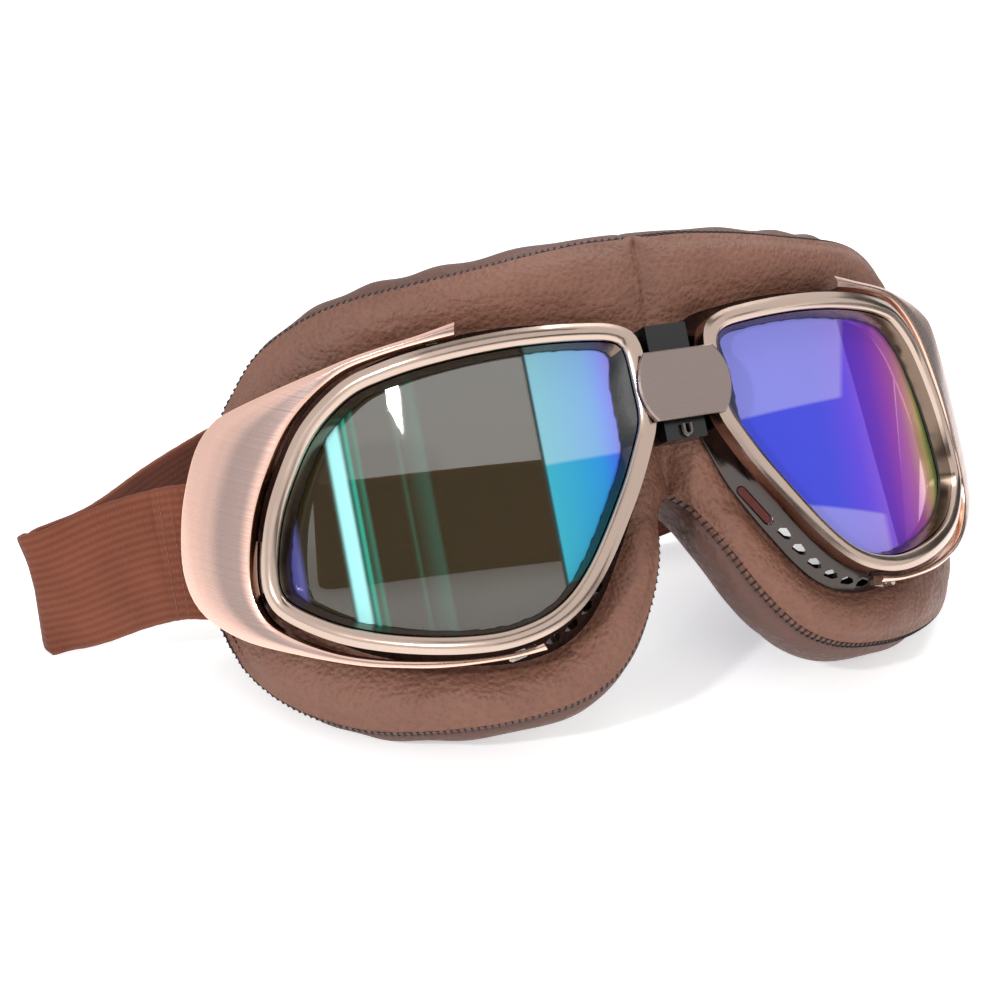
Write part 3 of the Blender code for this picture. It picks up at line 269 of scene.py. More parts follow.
def place(across, up, depth):
    """A point of the flat drawing on the wrapped mask."""
    side, back, slope = front_at(abs(across))
    x = side - depth * math.sin(slope)
    y = back + depth * math.cos(slope)
    return Vector((math.copysign(x, across) if across else x, y, up))


def frame_on_front(across, up, depth):
    """Matrix of a place on the wrapped mask: x round the front, y backwards, z up."""
    _, _, slope = front_at(abs(across))
    turn = slope if across > 0 else -slope
    return Matrix.Translation(place(across, up, depth)) @ Matrix.Rotation(turn, 4, "Z")


pad_loop = spline(
    [(a * pad_half_width, b * pad_top) for a, b in pad_top_share]
    + [(a * pad_half_width, b * pad_bottom) for a, b in pad_bottom_share]
    + [(0.0, pad_notch_up)], arc_steps, False)
corner_angles = [math.atan2(up - eye_up, -eye_across) for up in (pad_top, pad_notch_up)]


def bump(angles, middle, half_width):
    """1 at a direction, falling smoothly to 0 at half_width from it."""
    away = np.abs((angles - middle + math.pi) % (2 * math.pi) - math.pi)
    return np.where(away < half_width, np.cos(away / half_width * math.pi / 2) ** 2, 0.0)


def with_corners(angles, corners):
    """The directions, with the nearest one moved on to each corner."""
    angles = angles.copy()
    for corner in corners:
        angles[np.argmin(np.abs(angles - corner))] = corner
    return np.sort(angles)


eye_angles = even_angles(rim_loop, eye_steps)
pad_angles = with_corners(even_angles(pad_loop, pad_steps), corner_angles)


def from_eye(side, angle, radius, depth):
    """A point of the mask in a direction from an eye's middle, up to the nose plane."""
    across = max(eye_across + radius * math.cos(angle), 0.0)
    return place(side * across, eye_up + radius * math.sin(angle), depth)


def ring(side, radius, depth, angles):
    """Closed row of points round one eye; radius and depth may change with the direction."""
    radius, depth = (np.broadcast_to(value, angles.shape) for value in (radius, depth))
    return [from_eye(side, *spot) for spot in zip(angles, radius, depth)]


def rim_radii(distance, angles=eye_angles):
    """Distance from the eye's middle to the rim's outline moved outwards by a distance."""
    return radii(offset_loop(rim_loop, distance), angles)


lens_inset = rim_lip - lens_overlap
lens_front = rim_depth + fit_gap
lens_back = lens_front + lens_thickness
seal_front = rim_depth - seal_depth


def flange_out(angles):
    """How far the housing's flange stands out past the rim in each direction."""
    vent = bump(angles, vent_side, vent_spread)
    nose = bump(angles, nose_side, nose_spread)
    return (flange_reach + (vent_flange_reach - flange_reach) * vent
            + (nose_flange_reach - flange_reach) * nose)


flange_front = housing_depth - flange_thickness
wall_front = rim_depth + fit_gap
waist_depth = wall_front + waist_share * (flange_front - wall_front)


def along_rim(distance):
    """Place and outward direction at a distance along the rim's outline from the nose bridge."""
    closed = np.vstack([rim_loop, rim_loop[:1]])
    along = lengths_along(closed)
    i = int(np.searchsorted(along, distance)) - 1
    a, b = closed[i:i + 2]
    ahead = unit(b - a)
    return a + ahead * (distance - along[i]), np.array([ahead[1], -ahead[0]]), ahead


def vent_frame(side, distance, height_share):
    """Matrix of a vent in the flared wall: x along the rim, y up the flare, z the bore."""
    spot, out, ahead = along_rim(distance)
    reach = float(flange_out(np.array([math.atan2(*(spot - eye)[::-1])]))[0])
    spot = spot + out * (wall_waist + height_share * (reach - wall_waist))
    depth = waist_depth + height_share * (flange_front - waist_depth)
    base = frame_on_front(side * spot[0], spot[1], depth)
    x = Vector((side * ahead[0], 0.0, ahead[1]))
    outward = Vector((side * out[0], 0.0, out[1]))
    z = outward * math.cos(vent_tilt) - Vector((0.0, 1.0, 0.0)) * math.sin(vent_tilt)
    y = z.cross(x)
    return base @ Matrix((x, y, z)).transposed().to_4x4()


def slot_outline(length, height):
    """Outline with round ends."""
    half = (length - height) / 2
    points = []
    for middle, first in ((half, -90), (-half, 90)):
        for k in range(5):
            a = math.radians(first + 45 * k)
            points.append((middle + height / 2 * math.cos(a), height / 2 * math.sin(a)))
    return points


def pad_radii(angles):
    """Distance from the eye's middle to the pad's stitched edge in each direction."""
    closed = np.vstack([pad_loop, [(0.0, pad_notch_up + k * (pad_top - pad_notch_up) / 8)
                                   for k in range(1, 8)]])
    return radii(closed, angles)


def flat_spots(radius):
    """Places in the drawing at these distances from the eye's middle, in the pad's directions."""
    return eye + np.stack([np.cos(pad_angles), np.sin(pad_angles)], 1) * radius[:, None]


outward = np.clip(np.cos(pad_angles) + border_start_share, 0.0, 1.0)
pad_edge = pad_radii(pad_angles) + edge_border * outward
pad_flange = rim_radii(0.0, pad_angles) + flange_out(pad_angles)
pad_start = pad_flange + soft_gap
pad_seat = housing_depth + soft_gap
edge_spot = flat_spots(pad_edge)
notch_near = np.exp(-((edge_spot[:, 0]) ** 2 + (edge_spot[:, 1] - pad_notch_up) ** 2)
                    / notch_spread ** 2)
temple_near = np.exp(-(pad_angles / temple_spread) ** 4)
bridge_near = (np.exp(-((edge_spot[:, 1] - bridge_up) / bridge_spread) ** 4)
               * (edge_spot[:, 0] < bridge_half_width))
pad_seam_depth = (seam_depth + notch_set_back * notch_near + temple_set_back * temple_near
                  + bridge_set_back * bridge_near)
local_crown = (pad_crown * np.minimum((pad_edge - pad_start) / crown_width, 1.0)
               * (1 - temple_near) * (1 - bridge_near))


def leather_radius(share):
    return pad_start + (pad_edge - pad_start) * share


def leather_depth(share):
    """Depth of the leather's front between the housing (0) and the stitched edge (1)."""
    ease = share ** temple_ease_share * temple_near + share * (1 - temple_near)
    return (pad_seat + (pad_seam_depth - pad_seat) * ease
            - local_crown * math.sin(math.pi * share) ** crown_ease_share)


roll_start_share = 1 - roll_share
roll_middle_share = 1 - roll_share / 2
behind_leather = leather_thickness + soft_gap


def wing_edges():
    """Directions, inner and outer radii of the wing, from the lower arm tip to the upper one."""
    outline = spline([(a * wing_reach, b * wing_height) for a, b in wing_outline_share],
                     arc_steps, False) - eye
    direction = np.arctan2(outline[:, 1], outline[:, 0])
    angles = np.linspace(direction[0], direction[-1], wing_steps)
    outer = np.interp(angles, direction, np.hypot(outline[:, 0], outline[:, 1]))
    gap = wing_gap_tip + (wing_gap_temple - wing_gap_tip) * bump(angles, 0.0, wing_gap_spread)
    inner = np.array([float(rim_radii(g, np.array([a]))[0]) for a, g in zip(angles, gap)])
    return angles, inner, outer


wing_angles, wing_inner, wing_outer = wing_edges()


def bar_frame(side):
    return frame_on_front(side * bar_across, bar_up, bar_depth)


mask_lift = 56.2293 * MM  # the drawing's middle above the floor
mask_world = Matrix.Translation((0.0, 0.0, mask_lift)) @ Matrix.Rotation(-lean, 4, "X")
strap_high = (mask_world @ bar_frame(1).translation).z - strap_width / 2


def strap_route():
    """Centre of the webbing and how much it leans, from the left bar to the right one."""
    ends = []
    for side in (-1, 1):
        bar = mask_world @ bar_frame(side)
        away = bar.to_3x3() @ (Matrix.Rotation(side * exit_turn, 3, "Z") @ Vector((side, 0, 0)))
        run = bar.translation + away * exit_run
        ends.append([(*bar.translation, 1.0), (*run, 1.0)])
    between = [(x * fold_across, y * loop_back, strap_width / 2 + h * strap_high, t)
               for x, y, h, t in strap_share]
    curve = spline(ends[0] + between + ends[1][::-1], strap_steps, False)
    curve[:, 2] = np.maximum(curve[:, 2], strap_width / 2)
    return curve


route = strap_route()
route_length = lengths_along(route[:, :3])
mask_up = np.array(mask_world.to_3x3() @ Vector((0, 0, 1)))


def on_route(length):
    """Centre and width direction of the webbing at a distance from the left bar."""
    inside = min(max(length, 0.0), route_length[-1])
    spot = np.array([np.interp(inside, route_length, route[:, k]) for k in range(4)])
    if inside != length:
        i = 0 if inside <= 0 else -2
        spot[:3] += unit(route[i + 1, :3] - route[i, :3]) * (length - inside)
    return spot[:3], unit(spot[3] * mask_up + (1 - spot[3]) * np.array([0.0, 0.0, 1.0]))


def beside_route(length, aside):
    """Point beside the webbing's centre line, towards the outside of the loop."""
    spot, up = on_route(length)
    ahead = on_route(length + strap_thickness)[0] - on_route(length - strap_thickness)[0]
    return spot + unit(np.cross(up, unit(ahead))) * aside, up


total_length = route_length[-1]
front_stretch = route_length > total_length / 2
middle_length = float(np.interp(0.0, route[front_stretch, 0], route_length[front_stretch]))
shift = Vector((0.0114775, -0.0561715, 0.0))  # from the drawing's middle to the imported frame's
slider_frame = Matrix(((0.97857, -0.05061, -0.19962, 0.06867),
                       (0.04959, 0.99872, -0.01012, 0.0124),
                       (0.19987, 0.0, 0.97982, 0.02289), (0.0, 0.0, 0.0, 1.0)))


# Making pieces
def bands(bm, grid):
    """Faces between closed rows of vertices."""
    for a, b in zip(grid, grid[1:]):
        for i in range(len(a)):
            k = (i + 1) % len(a)
            bm.faces.new((a[i], a[k], b[k], b[i]))


def finished(name, bm, smooth=40):
    """The mesh, shaded smooth but for the edges that bend by more than so many degrees."""
    bmesh.ops.recalc_face_normals(bm, faces=bm.faces)
    mesh = bpy.data.meshes.new(name)
    bm.to_mesh(mesh)
    bm.free()
    mesh.shade_smooth()
    mesh.set_sharp_from_angle(angle=math.radians(smooth))
    return mesh


def world_mesh(name, rows, closed, matrix, smooth=40):
    """Mesh through closed rows of points, with its own lengths as UVs. It runs back to its first
    row where closed, else both ends have a cap. The matrix puts it in the world, above the
    floor."""
    bm = bmesh.new()
    layer = bm.loops.layers.uv.new("UVMap")
    rows = [[matrix @ Vector(p) for p in row] for row in rows]
    for row in rows:
        for p in row:
            p.z = max(p.z, 0.0)
    grid = [[bm.verts.new(p) for p in row] for row in rows]
    width = len(rows[0])
    middle = rows[len(rows) // 2]
    run = [0.0]
    for i in range(width):
        run.append(run[-1] + (middle[(i + 1) % width] - middle[i]).length)
    rise = [0.0]
    for row, above in zip(rows, rows[1:] + rows[:1]):
        rise.append(rise[-1] + (above[0] - row[0]).length)
    bands(bm, grid + grid[:1] if closed else grid)
    for index, face in enumerate(bm.faces):
        j, i = divmod(index, width)
        for loop, (right, up) in zip(face.loops, ((0, 0), (1, 0), (1, 1), (0, 1))):
            loop[layer].uv = (run[i + right], rise[j + up])
    if not closed:
        bm.faces.new(grid[0])
        bm.faces.new(grid[-1][::-1])
    return finished(name, bm, smooth)


world_of_mask = Matrix.Translation(shift) @ mask_world


def around_eye(name, side, profile, angles, smooth=40):
    """Closed mesh round one eye, through a profile of radii and depths."""
    rows = [ring(side, radius, depth, angles) for radius, depth in profile]
    return world_mesh(name, rows, True, world_of_mask, smooth)


def piece(name, data, *mats):
    obj = bpy.data.objects.new(name, data)
    bpy.context.scene.collection.objects.link(obj)
    for mat in mats:
        data.materials.append(mat)
    return obj


near_plane = 0.03 * MM  # vertices this near the nose plane belong to the joint
joint_end = 2.5 * MM  # the joint stays as it is this near its ends
relax_reach = 12.0 * MM  # how far from the joint the rings move
relax_rounds = 40
relax_ease_share = 0.6  # the reach shrinks by this share over the rounds


def near_nose(verts, distance=0.1 * near_plane):
    """The vertices on the nose plane, or as near to it as the distance."""
    return [v for v in verts if abs(v.co.x - shift.x) < distance]


def welded(name, meshes, smooth, first, last):
    """Both halves of a soft piece as one mesh, joined and relaxed where they meet at the nose.
    Only the rings from first to last and the joint itself move, and its two ends stay."""
    bm = bmesh.new()
    around = len(pad_angles)
    soft = []
    for mesh in meshes:
        start = len(bm.verts)
        bm.from_mesh(mesh)
        bm.verts.ensure_lookup_table()
        soft += bm.verts[start + first * around:start + last * around]
        bpy.data.meshes.remove(mesh)
    for v in near_nose(bm.verts, near_plane):
        v.co.x = shift.x
    walls = [f for f in bm.faces if len(near_nose(f.verts)) == len(f.verts)]
    bmesh.ops.delete(bm, geom=walls, context="FACES")
    bmesh.ops.remove_doubles(bm, verts=near_nose(bm.verts), dist=near_plane)
    if not last:
        return finished(name, bm, smooth)
    joint = near_nose(bm.verts)
    low = min(v.co.z for v in joint) + joint_end
    high = max(v.co.z for v in joint) - joint_end
    soft = near_nose([v for v in soft if v.is_valid], relax_reach)
    soft = set(soft + [v for v in joint if low < v.co.z < high])
    for k in range(relax_rounds):
        near = near_nose(soft, relax_reach * (1 - relax_ease_share * k / relax_rounds))
        bmesh.ops.smooth_vert(bm, verts=near, factor=0.5, use_axis_x=False, use_axis_y=True,
                              use_axis_z=True)
    return finished(name, bm, smooth)


thread_guide = np.array([0.31, 0.17, 0.93])  # a direction in which no thread runs


def threads(name, lines, radius, sides=5):
    """One mesh of many threads along points in the world."""
    bm = bmesh.new()
    turns = [2 * math.pi * k / sides for k in range(sides)]
    for line in lines:
        points = np.array([list(p) for p in line])
        grid = []
        for p, ahead in zip(points, np.gradient(points, axis=0)):
            across = unit(np.cross(unit(ahead), thread_guide))
            up = np.cross(across, unit(ahead))
            grid.append([bm.verts.new(p + radius * (across * math.cos(a) + up * math.sin(a)))
                         for a in turns])
        bands(bm, grid)
        bm.faces.new(grid[0])
        bm.faces.new(grid[-1][::-1])
    return finished(name, bm)


# Materials
class Shader:
    """A Principled material built from a few nodes. A value is a socket or a constant."""

    def __init__(self, name, colour, metallic=0.0, roughness=0.5):
        self.mat = bpy.data.materials.new(name)
        self.mat.use_nodes = True
        self.mat.diffuse_color = (*colour, 1.0)
        self.tree = self.mat.node_tree
        self.main = self.tree.nodes["Principled BSDF"]
        self.set(Base_Color=(*colour, 1.0), Metallic=metallic, Roughness=roughness)

    def feed(self, socket, value):
        if isinstance(value, bpy.types.NodeSocket):
            self.tree.links.new(value, socket)
        else:
            socket.default_value = value

    def set(self, **values):
        for key, value in values.items():
            self.feed(self.main.inputs[key.replace("_", " ")], value)
        return self

    def node(self, kind, **values):
        """A new node; the values name its settings and its sockets, with _ for a space."""
        node = self.tree.nodes.new("ShaderNode" + kind)
        for key, value in values.items():
            if hasattr(node, key):
                setattr(node, key, value)
            else:
                self.feed(node.inputs[key.replace("_", " ")], value)
        return node

    def spots(self, source="Object", scale=(1.0, 1.0, 1.0), turn=(0.0, 0.0, 0.0)):
        return self.node("Mapping", Vector=self.node("TexCoord").outputs[source], Scale=scale,
                         Rotation=turn).outputs[0]

    def flat(self):
        return self.node("SeparateXYZ", Vector=self.spots("UV")).outputs

    def noise(self, vector, scale, detail=3.0, rough=0.5):
        return self.node("TexNoise", Vector=vector, Scale=scale, Detail=detail,
                         Roughness=rough).outputs["Fac"]

    def ramp(self, value, stops, interpolation="LINEAR"):
        node = self.node("ValToRGB", Fac=value)
        node.color_ramp.interpolation = interpolation
        items = node.color_ramp.elements
        while len(items) < len(stops):
            items.new(0.5)
        for item, (at, colour) in zip(items, stops):
            item.position = at
            item.color = (*colour, 1.0)
        return node.outputs["Color"]

    def grey(self, value, low, high, out_low=0.0, out_high=1.0):
        return self.node("MapRange", Value=value, From_Min=low, From_Max=high, To_Min=out_low,
                         To_Max=out_high).outputs["Result"]

    def math(self, operation, *values):
        node = self.node("Math", operation=operation)
        for socket, value in zip(node.inputs, values):
            self.feed(socket, value)
        return node.outputs[0]

    def times(self, a, b):
        return self.math("MULTIPLY", a, b)

    def plus(self, a, b):
        return self.math("ADD", a, b)

    def mix(self, share, *colours):
        node = self.node("Mix", data_type="RGBA", Factor=share)
        for socket, colour in zip(node.inputs[6:8], colours):
            self.feed(socket, (*colour, 1.0) if isinstance(colour, tuple) else colour)
        return node.outputs[2]

    def bump(self, height, distance, strength, **under):
        node = self.node("Bump", Height=height, Distance=distance, Strength=strength, **under)
        self.set(Normal=node.outputs[0])
        return node.outputs[0]


def shaded(colour, *shares):
    """The colour times one share, or one for each channel."""
    return tuple(c * share for c, share in zip(colour, shares * 3))


def leather_material(name, light, dark, grain, rough, strength):
    """Leather of warped, rounded pebbles of the grain's size, with fine grain and folds."""
    s = Shader(name, light, 0.0, rough)
    spots = s.spots()
    push = s.node("TexNoise", Vector=spots, Scale=0.6 / grain).outputs["Color"]
    push = s.node("VectorMath", operation="SCALE", Vector=push, Scale=grain * 0.8).outputs[0]
    warp = s.node("VectorMath", operation="ADD", Vector=spots)
    s.feed(warp.inputs[1], push)
    pebble = s.node("TexVoronoi", feature="SMOOTH_F1", Vector=warp.outputs[0],
                    Scale=1.0 / grain, Smoothness=0.25).outputs["Distance"]
    fine = s.noise(spots, 2.6 / grain, 4.0, 0.65)
    large = s.noise(spots, 38.0)
    folds = s.noise(s.spots(scale=(1.0, 1.0, 2.2)), 120.0, 4.0, 0.6)
    tone = s.plus(s.grey(large, 0.3, 0.7, 0.0, 0.6), s.grey(pebble, 0.1, 0.8, 0.4, 0.0))
    height = s.math("SUBTRACT", s.times(fine, 0.35), s.times(pebble, 0.8))
    s.bump(height, 0.00045, strength, Normal=s.bump(folds, 0.0012, 0.55))
    return s.set(Base_Color=s.mix(tone, light, dark), Specular_IOR_Level=0.38,
                 Roughness=s.grey(pebble, 0.0, 0.7, rough - 0.10, rough + 0.16)).mat


def metal_material(name, colour, rough, brush=0.0, painted_reflection_band=()):
    """Plated metal, brushed along the part where brush isn't zero. The painted reflection band
    holds the depth of its darkening at places across the part's width."""
    s = Shader(name, colour, 1.0, rough)
    lines = s.noise(s.spots(scale=(16.0, 16.0, 3000.0), turn=(lean, 0.0, 0.0)), 1.0, 3.0, 0.7)
    cloud = s.noise(s.spots(), 90.0)
    tone = s.plus(s.times(lines, 0.25 if brush else 0.15), s.times(cloud, 0.35))
    tone = s.mix(tone, colour, shaded(colour, 0.9))
    if painted_reflection_band:
        # painted reflection: a dark band across the part's width, mixed towards a darker copy of
        # the colour
        depth = s.ramp(s.grey(s.flat()[0], 0.0, reflection_band_width),
                       [(at, (share,) * 3) for at, share in painted_reflection_band], "EASE")
        tone = s.mix(depth, tone, shaded(colour, 0.42, 0.50, 0.56))
    s.bump(*((lines, 0.00002, brush) if brush else (cloud, 0.00003, 0.2)))
    rough = s.grey(lines if brush else cloud, 0.3, 0.7, rough - 0.05, rough + 0.08)
    return s.set(Base_Color=tone, Roughness=rough).mat


def plain_material(name, colour, rough, grain, strength):
    s = Shader(name, colour, 0.0, rough)
    fine = s.noise(s.spots(), 0.5 / grain, 4.0, 0.6)
    s.bump(fine, grain * 0.4, strength)
    return s.set(Base_Color=s.mix(fine, shaded(colour, 0.7), shaded(colour, 1.25))).mat


def webbing_material(name, light, dark):
    """Ribbed elastic: ribs run along the strap, weft loops across them."""
    s = Shader(name, light, 0.0, 0.9)
    rib, weft = (s.node("TexWave", wave_type="BANDS", bands_direction=way, wave_profile="SIN",
                        Vector=s.spots("UV"), **values).outputs["Fac"] for way, values in (
                            ("Y", {"Scale": 190.0, "Distortion": 0.4, "Detail_Scale": 3.0}),
                            ("X", {"Scale": 420.0, "Distortion": 2.0, "Detail": 2.0})))
    fuzz = s.noise(s.spots("UV", (2600.0, 900.0, 1.0)), 1.0, 4.0, 0.7)
    cloud = s.noise(s.spots("UV"), 60.0)
    tone = s.times(rib, s.grey(weft, 0.0, 1.0, 0.65, 1.0))
    tone = s.plus(s.times(tone, 0.40), s.times(fuzz, 0.60))
    tone = s.plus(tone, s.grey(cloud, 0.35, 0.65, -0.12, 0.12))
    height = s.plus(s.times(rib, 0.6), s.plus(s.times(weft, 0.25), s.times(fuzz, 0.5)))
    s.bump(height, 0.0003, 0.38)
    return s.set(Base_Color=s.mix(tone, dark, light), Sheen_Weight=0.10,
                 Specular_IOR_Level=0.2).mat


brown = (0.028, 0.019, 0.005)
# Mirror coating colours across the left lens, with painted glints: the cyan and green lines from
# 0.158 to 0.242 are painted reflections of a lamp
left_coating_and_glints = [  # place across the lens, colour, and how much of it is mirror
    (0.010, (0.08, 0.07, 0.33), 0.9), (0.045, (0.11, 0.11, 0.34), 0.6), (0.060, brown, 0.0),
    (0.158, brown, 0.0), (0.166, (0.36, 0.82, 0.82), 0.9), (0.194, (0.40, 0.86, 0.84), 0.9),
    (0.202, (0.02, 0.05, 0.04), 0.1), (0.213, (0.03, 0.42, 0.30), 0.6), (0.220, brown, 0.0),
    (0.234, (0.03, 0.17, 0.11), 0.2), (0.242, brown, 0.0), (0.330, brown, 0.0),
    (0.336, (0.03, 0.09, 0.05), 0.0), (0.344, brown, 0.0), (0.396, (0.03, 0.08, 0.05), 0.0),
    (0.404, brown, 0.0), (0.701, brown, 0.0), (0.707, (0.030, 0.33, 0.43), 1.0),
    (0.80, (0.020, 0.28, 0.50), 1.0), (0.865, (0.016, 0.24, 0.58), 1.0),
    (0.905, (0.03, 0.16, 0.70), 1.0), (0.945, (0.09, 0.06, 0.62), 1.0),
    (0.985, (0.12, 0.04, 0.40), 1.0)]
right_coating = [
    (0.00, (0.040, 0.09, 0.50)), (0.08, (0.040, 0.060, 0.57)), (0.36, (0.048, 0.055, 0.575)),
    (0.482, (0.090, 0.042, 0.59)), (0.610, (0.190, 0.052, 0.56)),
    (0.690, (0.34, 0.070, 0.52)), (0.775, (0.47, 0.120, 0.40)), (0.850, (0.60, 0.29, 0.27)),
    (0.900, (0.56, 0.45, 0.17)), (0.95, (0.22, 0.28, 0.07))]


def lens_material(name, left):
    """Tinted plate with a mirror coating whose colour changes across the lens, and lighter
    patches of painted reflection. The UVs run from 0 to 1 over the lens, from its left edge in
    the photograph's view."""
    s = Shader(name, (0.1, 0.1, 0.3), 0.35, 0.03)
    u, v = s.flat()[:2]
    if left:
        colour = s.ramp(u, [row[:2] for row in left_coating_and_glints])
        coated = s.ramp(u, [(at, (share,) * 3) for at, _, share in left_coating_and_glints])
        s.set(Alpha=s.grey(coated, 0.0, 1.0, 0.64, 1.0), Specular_Tint=(1.0, 0.95, 0.82, 1.0),
              Metallic=s.grey(coated, 0.0, 1.0, 0.0, 0.30))
        # painted reflection: a lighter patch at the top of the left lens's mirrored part
        painted_reflection_patches = s.times(s.grey(v, 0.555, 0.567), s.grey(u, 0.701, 0.707))
    else:
        colour = s.ramp(u, right_coating)
        # painted reflections: lighter patches at the upper left and the lower left of the right
        # lens
        high = s.times(s.grey(s.plus(v, s.times(u, -0.09)), 0.600, 0.612),
                       s.grey(s.plus(u, s.times(v, -0.26)), 0.300, 0.275))
        low = s.times(s.grey(s.plus(v, s.times(u, 0.26)), 0.330, 0.318),
                      s.grey(u, 0.56, 0.53))
        painted_reflection_patches = s.plus(high, low)
    s.bump(s.noise(s.spots("UV"), 3.0, 1.0), 0.0004, 0.08)
    # the painted reflection patches mix the coating colour towards near-white
    return s.set(Base_Color=s.mix(s.times(painted_reflection_patches, 0.17), colour, (1.0, 0.95, 0.92)),
                 Specular_IOR_Level=0.3).mat


# painted reflection: a dark band across the wing's width, where the brushed copper reflects darker
# surroundings
reflection_band_width = 26.0 * MM  # round the wing's section at the temple, with its edges
wing_reflection_band = ((0.12, 0.15), (0.20, 0.80), (0.36, 0.85), (0.50, 0.30), (0.62, 0.08), (1.0, 0.0))
copper_rim = metal_material("rim_copper", (0.55, 0.42, 0.35), 0.17)
copper_inner = metal_material("copper_inner", (0.20, 0.14, 0.105), 0.20)
copper_wing = metal_material("brushed_copper", (0.82, 0.53, 0.44), 0.26, 0.35, wing_reflection_band)
copper_edge = metal_material("copper_edge", (0.88, 0.58, 0.46), 0.16)
chrome_dark = metal_material("dark_chrome", (0.075, 0.064, 0.060), 0.13)
bright_steel = metal_material("bright_steel", (0.56, 0.54, 0.52), 0.20)
dark_steel = metal_material("dark_steel", (0.16, 0.15, 0.145), 0.18)
badge_metal = metal_material("badge_copper", (0.31, 0.245, 0.225), 0.28, 0.3)
gloss_black = plain_material("gloss_black", (0.006, 0.006, 0.006), 0.22, 0.0006, 0.15)
seal_black = plain_material("seal_black", (0.012, 0.012, 0.012), 0.45, 0.0005, 0.4)
inner_foam = plain_material("inner_foam", (0.055, 0.04, 0.035), 0.95, 0.0007, 0.9)
vent_foam = plain_material("red_vent_foam", (0.085, 0.020, 0.017), 0.95, 0.0005, 0.9)
black_thread = plain_material("black_thread", (0.014, 0.010, 0.014), 0.75, 0.0002, 0.6)
red_thread = plain_material("dark_red_thread", (0.085, 0.022, 0.020), 0.75, 0.0002, 0.6)
brown_thread = plain_material("brown_thread", (0.20, 0.075, 0.05), 0.8, 0.0002, 0.6)
leather = leather_material("brown_leather", (0.225, 0.102, 0.068), (0.130, 0.056, 0.037),
                           0.0011, 0.40, 0.8)
roll_leather = leather_material("roll_leather", (0.150, 0.078, 0.062), (0.095, 0.046, 0.036),
                                0.0016, 0.48, 0.5)
webbing = webbing_material("brown_webbing", (0.250, 0.076, 0.042), (0.098, 0.028, 0.015))
lens_mats = {which: lens_material("mirror_lens_" + which, which == "left")
             for which in ("left", "right")}


def crosses_nose(obj):
    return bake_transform(obj)


